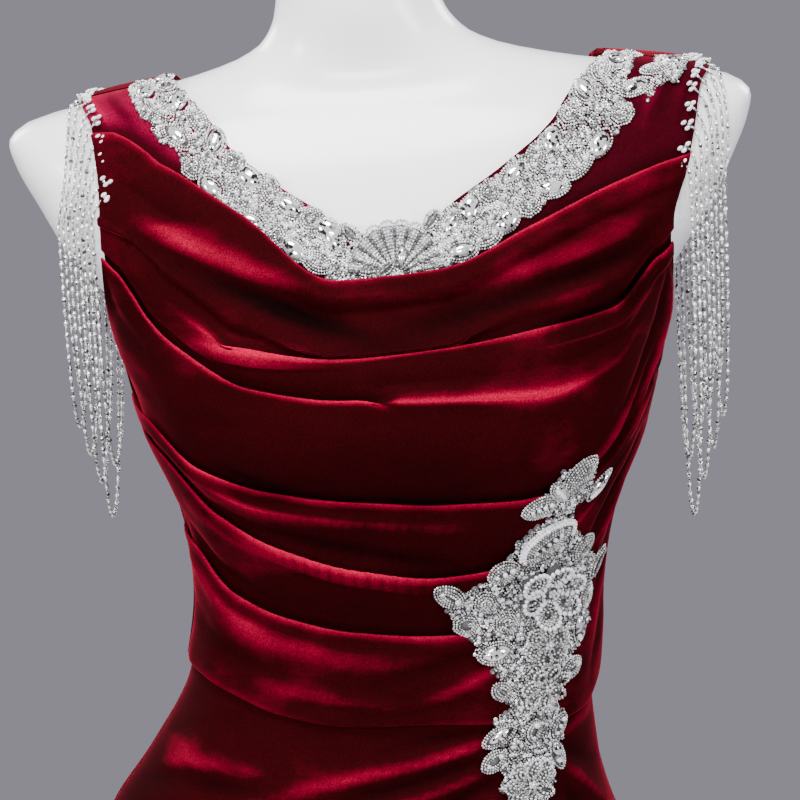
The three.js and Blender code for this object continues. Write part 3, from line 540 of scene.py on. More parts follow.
# each fold's shine sets the strength of the painted highlight along its rim
drapeFolds = [
    {  # cowl
        "rim": [1410, 1409, 1395, 1367, 1330, 1333, 1352, 1371, 1381, 1384],
        "proud": [8, 9, 11, 12, 13, 13, 12, 10, 9, 8],
        "shine": [0.4, 0.5, 0.6, 0.6, 0.7, 0.7, 0.7, 0.6, 0.5, 0.4],
        "crisp": [1] * 10,
    },
    {  # soft
        "rim": [1382, 1379, 1359, 1328, 1305, 1308, 1329, 1344, 1356, 1360],
        "proud": [6, 7, 9, 10, 9.4, 8.6, 8.6, 8.6, 7.6, 6.6],
        "groove": [6, 6.4, 7.4, 8, 7.6, 7.4, 7.2, 7, 6.6, 6],
        "shine": [0, 0, 0, 0, 0, 0, 0.1, 0.1, 0, 0],
        "crisp": [0, 0, 0, 0, 0, 0, 0, 0, 0, 0],
    },
    {  # second
        "rim": [1364, 1358, 1326, 1298, 1291, 1294, 1301, 1309, 1335, 1342],
        "proud": [6.4, 6.6, 7, 8.6, 9.2, 9, 9, 9.2, 8.6, 7.6],
        "groove": [6, 6.2, 6.6, 6.6, 6.4, 6.4, 6.8, 6.8, 6.2, 6],
        "shine": [0, 0, 0.1, 1, 1, 0.8, 0.7, 0.7, 0.6, 0.5],
        "crisp": [0, 0, 0, 0.7, 1, 1, 1, 1, 0.8, 0.6],
    },
    {  # bust
        "rim": [1350, 1343, 1304, 1278, 1271, 1271, 1271, 1283, 1317, 1328],
        "proud": [8, 9, 9.6, 10, 10, 10, 9.4, 8.4, 7.4, 6.6],
        "groove": [6.2, 6.4, 6.8, 7.2, 7.4, 7.6, 7.6, 7.6, 6.8, 6],
        "shine": [0.5, 0.6, 0.7, 0.7, 1, 1.25, 1.1, 0.3, 0, 0],
        "crisp": [1, 1, 1, 1, 0.8, 0, 0, 0, 0, 0],
    },
    {  # fourth
        "rim": [1261, 1256, 1232, 1220, 1216, 1214, 1214, 1222, 1262, 1290],
        "proud": [8, 8.4, 9, 8.8, 8.4, 8.4, 8.4, 7.8, 7.6, 7],
        "groove": [6, 6.2, 6.6, 6.8, 6.8, 7, 7, 6.8, 6.2, 5.8],
        "shine": [0.6, 0.6, 0.8, 0.7, 0.7, 0.8, 0.7, 0.5, 0.3, 0.3],
        "crisp": [1, 1, 1, 1, 1, 1, 0.9, 0.5, 0.5, 0.4],
    },
    {  # deep
        "rim": [1245, 1237, 1204, 1187, 1176, 1171, 1175, 1194, 1238, 1266],
        "proud": [8, 8.6, 9.4, 9.8, 9.8, 9.4, 8.8, 8, 7.6, 7],
        "groove": [5.8, 5.8, 6.2, 6.4, 6.6, 6.6, 6.8, 6.8, 6, 5.6],
        "shine": [0.6, 0.6, 0.6, 0.7, 0.8, 0.8, 0.8, 0.5, 0.3, 0.3],
        "crisp": [0.8, 1, 1, 1, 1, 1, 0.8, 0.3, 0.4, 0.4],
    },
    {  # sixth
        "rim": [1186, 1178, 1154, 1143, 1137, 1135, 1138, 1154, 1194, 1222],
        "proud": [7.4, 8.2, 8.8, 8.8, 8.8, 8.6, 8.4, 7.8, 7.4, 7],
        "groove": [6, 6.2, 6.4, 6.8, 7, 7, 7, 6.6, 6, 5.8],
        "shine": [0.5, 0.6, 0.6, 0.7, 0.7, 0.7, 0.7, 0.4, 0.3, 0.3],
        "crisp": [0.4, 1, 1, 1, 1, 1, 0.8, 0.4, 0.3, 0.3],
    },
    {  # waist
        "rim": [1103, 1101, 1095, 1086, 1082, 1083, 1081, 1077, 1080, 1098],
        "proud": [8.5] * 10,
        "shine": [0.3] * 10,
        "crisp": [1] * 10,
    },
]
# each crease runs through three points and has a width and a height, or a depth below 0
drapeCreases = [
    ((-60, 1370), (-38, 1350), (-16, 1322), 6, 2.9),
    ((-60, 1356), (-34, 1336), (-12, 1308), 6, -2.6),
    ((-36, 1332), (-18, 1312), (0, 1296), 5, -3.2),
    ((-30, 1344), (-12, 1322), (8, 1316), 6, 0.8),
    ((2, 1303), (30, 1318), (72, 1349), 6, -3.6),
    ((10, 1320), (34, 1336), (58, 1348), 6, 1.5),
    ((20, 1309), (40, 1318), (62, 1333), 4, 1.4),
    ((-44, 1302), (-30, 1297), (-10, 1292), 5, 2.2),
    ((34, 1301), (46, 1302), (70, 1331), 3.4, -3.2),
    ((28, 1296), (44, 1294), (66, 1320), 4.5, 2.2),
    ((-8, 1274), (14, 1271), (42, 1271), 4, 1.6),
    ((-82, 1336), (-70, 1312), (-52, 1286), 5, -2.4),
    ((-86, 1322), (-76, 1292), (-64, 1268), 6, 1.3),
    ((-72, 1300), (-60, 1276), (-46, 1262), 5, 0.7),
    ((-46, 1237), (-36, 1223), (-24, 1220), 4, -2.8),
    ((-56, 1232), (-44, 1218), (-34, 1212), 4, 2.2),
    ((-50, 1216), (-20, 1203), (16, 1201), 5, 2.2),
    ((-46, 1203), (-16, 1187), (16, 1177), 4, -2.4),
    ((-62, 1206), (-36, 1180), (12, 1166), 5, 2.4),
    ((-72, 1190), (-58, 1168), (-34, 1152), 4, -2),
    ((-80, 1178), (-64, 1150), (-40, 1134), 5, 2),
    ((-60, 1142), (-30, 1122), (6, 1118), 7, 1.8),
    ((-78, 1140), (-56, 1116), (-30, 1108), 5, -1.8),
    ((8, 1098), (20, 1104), (30, 1116), 4, 2.6),
    ((-4, 1108), (14, 1116), (26, 1128), 5, -1.8),
    ((-40, 1104), (-16, 1098), (8, 1092), 4, 1.6),
    ((76, 1322), (65, 1290), (59, 1258), 3.6, -3),
    ((82, 1318), (72, 1284), (65, 1250), 4.2, 2.8),
    ((70, 1286), (64, 1262), (60, 1246), 3, -2.2),
    ((64, 1276), (58, 1242), (48, 1226), 3.6, 2.8),
    ((86, 1296), (78, 1262), (70, 1238), 4, -2.2),
    ((76, 1244), (66, 1208), (61, 1188), 3.6, -2.6),
    ((82, 1240), (73, 1210), (67, 1182), 4, 2.4),
    ((86, 1212), (77, 1184), (71, 1156), 4, -2),
    ((80, 1176), (73, 1150), (69, 1124), 4, 1.8),
    ((84, 1150), (76, 1124), (71, 1102), 3.6, -1.8),
]

# profile of a pocket pleat, downward: height from the rim, share of the way from the groove to the proud band, layers
# further in, and the painted highlight (above 0) or painted shade (below 0) there
pocketProfile = [
    (5.5, 0.12, 0, -0.1),
    (2.0, 0.02, 0, -0.5),
    (-3.0, 0, 0, -1),
    (-6.0, 0, 0, -1),
    (-7.2, 0, 0.25, -1),
    (-6.6, 0, 0.6, -1),
    (-4.2, 1, -1, -1),
    (-1.9, 1, -1, -0.6),
    (-0.7, 1, -0.86, 0.2),
    (0.0, 1, -0.5, 1),
    (-0.6, 1, -0.18, 1),
    (-2.0, 1, -0.02, 0.7),
    (-4.8, 1, 0.04, 0.12),
    (-9.0, 1, 0.02, 0),
]
softProfile = [
    (11, 0.08, 0, -0.1),
    (8.5, 0.2, 0, -0.2),
    (6, 0.36, 0, -0.15),
    (4, 0.52, 0, 0),
    (2, 0.68, 0, 0.1),
    (0, 0.82, 0, 0.5),
    (-2, 0.92, 0, 0.95),
    (-4, 0.98, 0, 0.4),
    (-6, 1, 0, 0.1),
    (-8, 1, 0, 0),
    (-10, 0.99, 0, 0),
    (-12, 0.97, 0, 0),
    (-14, 0.94, 0, 0),
    (-16, 0.9, 0, 0),
]
# the cowl's edge is turned over to the inside, and the waist's edge is turned up; each row's last value is painted
# highlight (above 0) or painted shade (below 0)
cowlTurn = [(-12, -2.3, -1), (-10, -2.3, -1), (-7, -2.2, -1), (-4, -2.1, -0.8), (-1.4, -1.9, -0.4)]
cowlTurn += [(-0.3, -1.4, 0.5), (0, -0.75, 1), (-0.5, -0.27, 1), (-1.9, 0, 0.4), (-4.6, 0.1, 0), (-9, 0.1, 0)]
waistTurn = [(8, 0.05, 0), (4, 0.05, 0), (1.6, 0, 0.4), (0.4, -0.2, 1), (0, -0.5, 0), (0.5, -0.8, -1)]
waistTurn += [(2, -0.95, -1), (7, -0.95, -1)]
bandRows = 12
flower = {"angle": 46, "z": 1154}


# folds flatten towards the side seams and under the hip flower
def sideward(angle):
    return smooth(np.abs(angle), 55, 88)


def foldStrength(angle, z):
    fromFlower = np.hypot((angle - flower["angle"]) * 1.7, z - flower["z"])
    return (1 - 0.75 * sideward(angle)) * (1 - 0.85 * (1 - smooth(fromFlower, 20, 62)))


def drapeProfile(angle):
    curves = [
        {key: curveThrough(drape["angles"], values)(angle) for key, values in fold.items()} for fold in drapeFolds
    ]
    rest = mix(drape["restOut"], drape["sideOut"], sideward(angle))
    for fold in curves:
        strength = foldStrength(angle, fold["rim"]) if "groove" in fold or fold is curves[0] else 1
        fold["proud"] = mix(rest, fold["proud"], strength)
        fold["crisp"] = smooth(fold["crisp"], 0.25, 0.75)
        if "groove" in fold:
            groove = mix(rest, fold["groove"], strength)
            fold["groove"] = mix(groove, np.minimum(groove, fold["proud"] - drape["pocket"]), fold["crisp"])
    heights, outs, shines, anchors = [], [], [], []

    def addRow(z, out, shine, anchor=None):
        heights.append(z)
        outs.append(out)
        shines.append(np.broadcast_to(shine, angle.shape))
        anchors.append(z if anchor is None else anchor)

    cowl = curves[0]
    # painted highlight along the cowl's turned rim and painted shade on its inside
    for drop, layer, shine in cowlTurn:
        paintedLevel = shine * cowl["shine"] if shine > 0 else shine
        addRow(cowl["rim"] + drop, cowl["proud"] + layer * drape["layer"], paintedLevel)
    for above, fold in zip(curves[:-1], curves[1:]):
        room = (above["rim"] - fold["rim"]) / 24
        size = np.clip(room * 0.8, 0.2, 1)
        start = heights[-1]
        startOut = outs[-1]
        rows = []
        if fold is curves[-1]:
            for dz, layer, shine in waistTurn:
                out = fold["proud"] + layer * drape["layer"]
                rows.append((fold["rim"] + dz, out, shine * fold["shine"], fold["rim"]))
        else:
            for (dz, share, layer, shine), (softZ, softShare, _, softShine) in zip(pocketProfile, softProfile):
                pocketOut = mix(fold["groove"], fold["proud"], share) + layer * drape["layer"]
                softOut = mix(fold["groove"], fold["proud"], softShare)
                # painted highlight along each fold's rim and painted shade in the pocket above it, milder where the
                # fold is soft
                paintedLevel = mix(softShine, shine, fold["crisp"])
                paintedLevel = np.where(paintedLevel > 0, paintedLevel * fold["shine"], paintedLevel * mix(0.3, 1, fold["crisp"]))
                height = fold["rim"] + size * mix(softZ, dz, fold["crisp"])
                hidden = layer != 0 or share < 0.1
                anchor = mix(height, fold["rim"] - 1, fold["crisp"]) if hidden else height
                rows.append((height, mix(softOut, pocketOut, fold["crisp"]), paintedLevel, anchor))
        endZ, endOut, endShine, _ = rows[0]
        bulge = 0.4 * np.clip(room, 0, 1.4)
        for k in range(1, bandRows):
            t = k / bandRows
            out = mix(startOut, endOut, t**1.5) + bulge * math.sin(math.pi * t) * (1 - t * 0.4)
            addRow(mix(start, endZ, t), out, endShine * t**4)
        for row in rows:
            addRow(*row)
    return [np.array(values) for values in (heights, outs, shines, anchors)]


def buildDrapedFront():
    angles = np.linspace(-panelEnd["bodice"], panelEnd["bodice"], drape["columns"])
    heights, outs, shines, anchors = drapeProfile(angles)
    rows = len(heights)
    angle = np.broadcast_to(angles, outs.shape)
    folds = creaseDepth(drapeCreases, angle, anchors)
    outs = outs + folds
    # painted highlight along rims and ridges, painted shade in hollows, and painted sheen lighter towards the sides and
    # darker at the middle
    paintedLevels = np.clip(shines + folds * drape["creaseShading"] + 0.24 * smooth(np.abs(angle), 5, 50) - 0.18, -1.1, 1.2)
    outs = outs + 0.35 * np.sin(angle * 0.13 + heights * 0.031) + 0.25 * np.sin(angle * 0.31 - heights * 0.017 + 1.1)

    def place(u, v):
        column = np.rint(u * (drape["columns"] - 1)).astype(int)
        row = np.rint((1 - v) * (rows - 1)).astype(int)
        return onBody(angles[column], heights[row, column], -1, outs[row, column]), paintedLevels[row, column]

    piece = layGrid("drapedFront", drape["columns"], rows, place, velvet)
    giveThickness(piece, drape["thickness"])
    finishPiece(piece, "velvet", "bodice_front")
    return piece


drapedFront = buildDrapedFront()
print("draped front made")


yokeSize = {"columns": 180, "rows": 46, "out": 3.6, "drop": 16, "thickness": 1.8}
cowlRim = curveThrough(drape["angles"], drapeFolds[0]["rim"])
waistRim = curveThrough(drape["angles"], drapeFolds[-1]["rim"])


yokeCreases = [
    ((62, 1400), (66, 1416), (70, 1440), 5, -1.6),
    ((56, 1396), (60, 1414), (62, 1440), 5, 1),
    ((74, 1400), (76, 1416), (78, 1440), 4, -1.2),
    ((-58, 1408), (-62, 1424), (-64, 1446), 5, -1.2),
    ((-68, 1410), (-72, 1424), (-76, 1446), 5, 1),
]


def buildYoke():
    def place(u, v):
        angle = mix(-panelEnd["bodice"], panelEnd["bodice"], u)
        top = topHeight(angle, -1)
        height = mix(cowlRim(angle) - yokeSize["drop"], top, v)
        fold = creaseDepth(yokeCreases, angle, height)
        # painted light: lighter on the wearer's right side and towards the top, crease ridges lighter and hollows
        # darker, and painted shade behind the cowl and just above its rim
        lit = mix(0.5, -0.1, smooth(angle, -50, 50)) + 0.25 * smooth(height, 1390, 1450)
        paintedShading = lit + fold * 0.35 - 0.9 * (1 - smooth(height - cowlRim(angle), -2, 12))
        return onBody(angle, height, -1, yokeSize["out"] + fold), paintedShading

    piece = layGrid("neckYoke", yokeSize["columns"], yokeSize["rows"], place, yokeVelvet)
    giveThickness(piece, yokeSize["thickness"])
    finishPiece(piece, "yoke_velvet", "neck_yoke")
    return piece


neckYoke = buildYoke()
backSize = {
    "columns": 90,
    "rows": 150,
    "zipGap": 4,
    "zipHalf": 140,  # the half width at which the gap is turned into an angle
    "hip": 8.5,
    "out": 7.2,
    "seam": 5.8,
    "strap": 3.8,
    "strapHeights": (1420, 1456),
    "thickness": 1.8,
    "dip": 14,
}
backCreases = [
    ((78, 1128), (50, 1120), (22, 1131), 5, -2.2),
    ((80, 1152), (58, 1142), (34, 1150), 6, -1.9),
    ((84, 1196), (66, 1178), (46, 1176), 6, -1.8),
    ((86, 1176), (64, 1162), (40, 1166), 5, 1.6),
    ((76, 1112), (52, 1104), (30, 1112), 4, 1.8),
    ((86, 1290), (76, 1262), (70, 1232), 7, -1.8),
    ((87, 1262), (72, 1232), (60, 1214), 6, 1.6),
    ((84, 1328), (72, 1312), (54, 1306), 8, -1.4),
]


def buildBack(name, sign, node):
    inner = math.degrees(math.asin(backSize["zipGap"] / backSize["zipHalf"]))
    waist = float(waistRim(sign * panelEnd["bodice"]))

    def place(u, v):
        angle = mix(inner, panelEnd["bodice"], u)
        low = waist - backSize["dip"] * (1 - np.sin(np.radians(angle)))
        height = mix(low, topHeight(angle, 1), v)
        out = mix(backSize["hip"], mix(backSize["out"], backSize["seam"], sideward(angle)), smooth(v, 0, 0.3))
        out = mix(out, backSize["strap"], smooth(height, *backSize["strapHeights"]))
        fold = creaseDepth(backCreases, angle, height)
        # crease ridges get painted highlight and hollows painted shade
        return onBody(sign * angle, height, 1, out + fold), fold * 0.3

    piece = layGrid(name, backSize["columns"], backSize["rows"], place, velvet)
    giveThickness(piece, backSize["thickness"])
    finishPiece(piece, "velvet", node)
    return piece


backLeft = buildBack("backLeft", 1, "bodice_back_left")
backRight = buildBack("backRight", -1, "bodice_back_right")
print("yoke and backs made")


skirtSize = {
    "flutes": 12,
    "topOut": 5,
    "overWaist": 7,
    "crowding": 1.35,
    "seamHalf": 0.15,
    "zipClosing": 18,
    "hipLow": 905,
    "hipHigh": 960,
    "fluteDepth": 22,
    "fluteLeast": 1.2,
    "fluteTop": 880,
    "fallTop": 900,
    "ripples": 29,
    "rippleDepth": 1.6,
    "patchesAndFluteSheen": 0.22,
    "hem": 20,
    "zipBottom": 1000,
    "thickness": 1.8,
    "frontColumns": 200,
    "backColumns": 100,
    "rows": 150,
}
# gathers that run from the hip flowers across the skirt's top
skirtCreases = [
    ((-34, 1036), (-4, 1058), (27, 1068), 4.5, 2.6),
    ((-26, 1026), (2, 1048), (29, 1062), 4, -2.4),
    ((-14, 1018), (10, 1044), (31, 1057), 4, 2.6),
    ((-2, 1010), (16, 1036), (32, 1051), 3.6, -2.4),
    ((10, 1062), (20, 1068), (30, 1074), 3, 2),
    ((4, 1072), (18, 1076), (30, 1079), 3.4, -1.6),
    ((6, 1000), (20, 1026), (34, 1044), 4, 2.4),
    ((14, 984), (25, 1012), (36, 1036), 4, -2.2),
    ((22, 966), (30, 1000), (39, 1028), 5, 2.4),
    ((32, 950), (37, 990), (42, 1020), 5, -2),
    ((-70, 1050), (-52, 1060), (-30, 1052), 5, 2),
    ((-74, 1040), (-48, 1050), (-20, 1040), 5, -1.8),
    ((-48, 1034), (-26, 1042), (-6, 1036), 5, 1.8),
    ((-82, 1066), (-70, 1058), (-56, 1062), 4, 1.6),
    ((60, 1080), (68, 1096), (76, 1108), 3.4, -2.2),
    ((58, 1088), (64, 1100), (70, 1112), 3.4, 2),
    ((54, 1070), (66, 1074), (82, 1086), 3.6, 2.2),
    ((55, 1062), (68, 1052), (82, 1050), 4, -2),
    ((56, 1054), (68, 1036), (80, 1018), 4.4, 2.4),
    ((53, 1044), (62, 1020), (72, 996), 4.4, -2),
    ((48, 1030), (54, 1000), (60, 968), 5, 2.2),
]


def onSkirt(angle, z, side):
    turn = np.radians(angle) if side < 0 else math.pi - np.radians(angle)
    hipward = smooth(z, skirtSize["hipLow"], skirtSize["hipHigh"])
    onHip = np.maximum(z, skirtSize["hipLow"])
    half = mix(skirtHalf(z), bodyHalf(onHip) + skirtSize["topOut"], hipward)
    front = mix(skirtFront(z), bodyFront(onHip) + skirtSize["topOut"], hipward)
    back = mix(skirtBack(z), bodyBack(onHip) + skirtSize["topOut"], hipward)
    power = mix(skirtPower(z), bodyPower(onHip), hipward)
    depth = front if side < 0 else back
    across = np.sin(np.radians(angle))
    x = across * half
    y = side * depth * np.maximum(0, 1 - np.abs(across) ** power) ** (1 / power)
    fall = 1 - smooth(z, skirtSize["hem"], skirtSize["fallTop"])
    flute = skirtSize["fluteLeast"] + skirtSize["fluteDepth"] * fall**1.5
    flute = flute * (1 - smooth(z, skirtSize["fluteTop"], skirtSize["hipHigh"]))
    swing = np.cos(turn * skirtSize["flutes"] + 0.5 * fall * np.sin(3 * turn + 0.6))
    wave = 0.5 * flute * swing
    wave = wave + skirtSize["rippleDepth"] * fall * np.sin(turn * skirtSize["ripples"] + 1.3)
    # painted highlight on the flutes' crests and painted shade in their troughs
    paintedShading = skirtSize["patchesAndFluteSheen"] * fall * swing
    if side < 0:
        fold = creaseDepth(skirtCreases, angle, z)
        wave = wave + fold
        # in front, crease ridges painted lighter and hollows darker, and the whole front made darker
        paintedShading = paintedShading + fold * 0.26 - 0.16
    away = unit(np.stack([x / half**2, y / depth**2, np.zeros_like(x)], -1))
    return np.stack([x, y, z + 0 * x], -1) + away * wave[..., None], paintedShading


def buildSkirt(name, side, sign, node, columns):
    end = panelEnd["skirt"]

    def place(u, v):
        top = waistRim(mix(-end, end, u)) + skirtSize["overWaist"]
        if side > 0:
            waist = float(waistRim(sign * panelEnd["bodice"]))
            dip = backSize["dip"] * (1 - np.sin(np.radians(mix(1.7, end, u))))
            top = waist + skirtSize["overWaist"] - dip
        share = 1 - (1 - v) ** skirtSize["crowding"]  # rows stand closer near the waist
        z = mix(skirtSize["hem"], top, share)
        if side < 0:
            return onSkirt(mix(-end, end, u), z, side)
        parted = smooth(z, skirtSize["zipBottom"] - skirtSize["zipClosing"], skirtSize["zipBottom"])
        opening = mix(skirtSize["seamHalf"], backSize["zipGap"], parted)
        seam = np.degrees(np.arcsin(opening / skirtHalf(z)))
        return onSkirt(sign * mix(seam, end, u), z, side)

    piece = layGrid(name, columns, skirtSize["rows"], place, velvet)
    giveThickness(piece, skirtSize["thickness"])
    finishPiece(piece, "velvet", node)
    return piece


skirtFrontPanel = buildSkirt("skirtFront", -1, 1, "skirt_front", skirtSize["frontColumns"])
skirtLeft = buildSkirt("skirtBackLeft", 1, 1, "skirt_back_left", skirtSize["backColumns"])
skirtRight = buildSkirt("skirtBackRight", 1, -1, "skirt_back_right", skirtSize["backColumns"])
print("skirt made")


formSize = {"around": 128, "rows": 150, "bottom": 838, "top": 1520, "crowding": 1.25, "weld": 0.02}


def buildForm():
    def place(u, v):
        share = 1 - (1 - v) ** formSize["crowding"]  # rows stand closer near the top
        z = mix(formSize["bottom"], formSize["top"], share)
        power = bodyPower(z)
        turn = 2 * math.pi * u
        s, c = np.sin(turn), np.cos(turn)
        grow = (np.abs(s) ** power + np.abs(c) ** power) ** (-1 / power)
        depth = np.where(c > 0, bodyFront(z), bodyBack(z))
        return np.stack([s * grow * bodyHalf(z), -c * grow * depth, z], -1)

    piece = layGrid("formTorso", formSize["around"] + 1, formSize["rows"], place, glossWhite)
    bm = bmesh.new()
    bm.from_mesh(piece.data)
    bmesh.ops.remove_doubles(bm, verts=bm.verts, dist=formSize["weld"] * mm)
    rims = [edge for edge in bm.edges if edge.is_boundary]
    bmesh.ops.holes_fill(bm, edges=rims, sides=0)
    bmesh.ops.recalc_face_normals(bm, faces=bm.faces)
    caps = [face for face in bm.faces if len(face.verts) > 4]
    for face in caps:
        face.smooth = False
        for edge in face.edges:
            edge.smooth = False
    bm.to_mesh(piece.data)
    bm.free()
    finishPiece(piece, "form", "form_torso")


buildForm()


def spinProfile(name, profile, material, steps=96):
    bm = bmesh.new()
    verts = [bm.verts.new((r * mm, 0, z * mm)) for r, z in profile]
    edges = [bm.edges.new(pair) for pair in zip(verts, verts[1:])]
    bmesh.ops.spin(
        bm, geom=verts + edges, cent=(0, 0, 0), axis=(0, 0, 1), angle=2 * math.pi, steps=steps, use_merge=True
    )
    bmesh.ops.remove_doubles(bm, verts=bm.verts, dist=0.00001)
    bmesh.ops.recalc_face_normals(bm, faces=bm.faces)
    mesh = bpy.data.meshes.new(name)
    bm.to_mesh(mesh)
    bm.free()
    piece = newObject(name, mesh, material)
    mesh.set_sharp_from_angle(angle=math.radians(35))
    return piece


pole = [(0, 12.3), (26, 12.3), (26, 18), (24.5, 20), (17, 24), (15, 30), (15, 829), (48, 829.7), (48, 836.7)]
pole += [(47, 837.7), (0, 837.7)]
plate = [(0, 0), (173, 0), (174.6, 0.6), (175, 2), (175, 9), (174, 11), (171, 12), (0, 12)]
standPole = spinProfile("standPole", pole, satinSteel)
finishPiece(standPole, "steel", "stand_pole")
standBase = spinProfile("standBase", plate, satinSteel)
finishPiece(standBase, "steel", "stand_base")
print("form and stand made")


# materials of the jewels
def makeJewel(name, dark, light, roughness, metallic, coat=0.0, glintCells=0.0):
    material, tree, shader = newMaterial(name)
    shade = addNode(tree, "ShaderNodeAttribute", attribute_name="shade").outputs["Fac"]
    factor = shade
    # on stones, chatons, sequins and drops a Voronoi cell pattern paints facets dark or bright: painted reflections and
    # glints
    if glintCells:
        place = addNode(tree, "ShaderNodeTexCoord").outputs["Object"]
        glintCell = addNode(tree, "ShaderNodeTexVoronoi", {"Vector": place, "Scale": glintCells}).outputs["Color"]
        red = addNode(tree, "ShaderNodeSeparateColor", {"Color": glintCell}).outputs["Red"]
        paintedGlint = {"Value": red, "From Min": 0.18, "From Max": 0.42}
        factor = addNode(tree, "ShaderNodeMapRange", paintedGlint).outputs["Result"]
    tones = {"Factor": factor, "A": (*dark, 1), "B": (*light, 1)}
    spread = {"Value": shade, "To Min": roughness * 1.5, "To Max": roughness * 0.6}
    feed(
        tree,
        shader,
        {
            "Base Color": addNode(tree, "ShaderNodeMix", tones, data_type="RGBA").outputs["Result"],
            "Roughness": addNode(tree, "ShaderNodeMapRange", spread).outputs["Result"],
            "Metallic": metallic,
            "Coat Weight": coat,
            "Coat Roughness": 0.05,
        },
    )
    return material


seedGlass = makeJewel("seedGlass", (0.09, 0.088, 0.088), (0.98, 0.97, 0.96), 0.2, 0.4, coat=0.5)
facetGlass = makeJewel("facetGlass", (0.03, 0.03, 0.035), (1.0, 1.0, 1.0), 0.07, 0.7, coat=0.7, glintCells=620.0)
pearlCoat = makeJewel("pearlCoat", (0.46, 0.45, 0.52), (0.86, 0.84, 0.86), 0.24, 0.0, coat=0.6)
netAndGapShade = makeJewel("netAndGapShade", (0.02, 0.018, 0.02), (0.3, 0.29, 0.31), 0.6, 0.1)


# small shapes that are placed many times, each of unit size with its back on the cloth at z = 0
def readShape(bm, flat):
    bmesh.ops.triangulate(bm, faces=bm.faces)
    bm.verts.ensure_lookup_table()
    shape = {
        "points": np.array([vert.co for vert in bm.verts]),
        "faces": np.array([[vert.index for vert in face.verts] for face in bm.faces]),
        "flat": flat,
    }
    bm.free()
    return shape


def ballShape(subdivisions, flat=False):
    bm = bmesh.new()
    bmesh.ops.create_icosphere(bm, subdivisions=subdivisions, radius=1)
    return readShape(bm, flat)


# a cut stone: rings of facets step up from the girdle to a small table
def stoneShape(point, sides=12):
    bm = bmesh.new()
    rings = []
    for k, (share, z) in enumerate(((0.8, -0.5), (1, 0), (0.74, 0.5), (0.36, 0.72))):
        turns = [2 * math.pi * (i + 0.5 * (k % 2)) / sides for i in range(sides)]
        rim = [(share * math.cos(t), share * math.sin(t) * abs(math.sin(t)) ** point) for t in turns]
        rings.append([bm.verts.new((x, y, z)) for x, y in rim])
    for k, (low, high) in enumerate(zip(rings[:-1], rings[1:])):
        for i in range(sides):
            after = (i + 1) % sides
            if k % 2:
                bm.faces.new((low[i], high[after], high[i]))
                bm.faces.new((low[i], low[after], high[after]))
            else:
                bm.faces.new((low[i], low[after], high[i]))
                bm.faces.new((low[after], high[after], high[i]))
    bm.faces.new(rings[-1])
    bm.faces.new(rings[0][::-1])
    bmesh.ops.recalc_face_normals(bm, faces=bm.faces)
    return readShape(bm, True)


def tubeShape():
    bm = bmesh.new()
    bmesh.ops.create_cone(bm, segments=7, radius1=1, radius2=1, depth=2, cap_ends=True)
    bmesh.ops.rotate(bm, verts=bm.verts, cent=(0, 0, 0), matrix=Matrix.Rotation(math.pi / 2, 3, "Y"))
    return readShape(bm, False)


def ringShape():
    bm = bmesh.new()
    verts = [bm.verts.new(co) for co in ((1, 0, 0), (0.72, 0, 0.3), (0.42, 0, 0))]
    edges = [bm.edges.new((verts[i], verts[(i + 1) % 3])) for i in range(3)]
    bmesh.ops.spin(bm, geom=verts + edges, cent=(0, 0, 0), axis=(0, 0, 1), angle=2 * math.pi, steps=8, use_merge=True)
    bmesh.ops.remove_doubles(bm, verts=bm.verts, dist=0.0001)
    bmesh.ops.recalc_face_normals(bm, faces=bm.faces)
    return readShape(bm, False)


shapes = {
    "bead": (ballShape(1), seedGlass),
    "pearl": (ballShape(2), pearlCoat),
    "marquise": (stoneShape(0.35), facetGlass),
    "oval": (stoneShape(0), facetGlass),
    "chaton": (ballShape(1, True), facetGlass),
    "bugle": (tubeShape(), seedGlass),
    "sequin": (ringShape(), facetGlass),
    "pad": (ballShape(1), netAndGapShade),
    "drop": (ballShape(1, True), facetGlass),
}


# joins many placed copies of one shape: rows hold centre, three axes with their sizes, and shade
def joinCopies(name, kind, centres, axes, shades):
    shape, material = shapes[kind]
    points, faces = shape["points"], shape["faces"]
    placed = centres[:, None, :] + np.einsum("pi,nij->npj", points, axes)
    corners = faces[None] + np.arange(len(centres))[:, None, None] * len(points)
    mesh = bpy.data.meshes.new(name)
    mesh.vertices.add(placed.shape[0] * placed.shape[1])
    mesh.vertices.foreach_set("co", (placed * mm).astype(np.float32).ravel())
    count = corners.shape[0] * corners.shape[1]
    mesh.loops.add(count * 3)
    mesh.loops.foreach_set("vertex_index", corners.astype(np.int32).ravel())
    mesh.polygons.add(count)
    mesh.polygons.foreach_set("loop_start", np.arange(0, count * 3, 3, dtype=np.int32))
    mesh.update(calc_edges=True)
    shade = mesh.attributes.new("shade", "FLOAT", "POINT")
    shade.data.foreach_set("value", np.repeat(shades, len(points)).astype(np.float32))
    return newObject(name, mesh, material, smoothShade=not shape["flat"])


# the bed on which the hip's jewels lie: the velvet's height above the body, evened out
hipBed = {"from": 6, "to": 78, "step": 1, "low": 1004, "high": 1252, "rise": 3, "even": 2, "reach": 40, "least": 5.5}


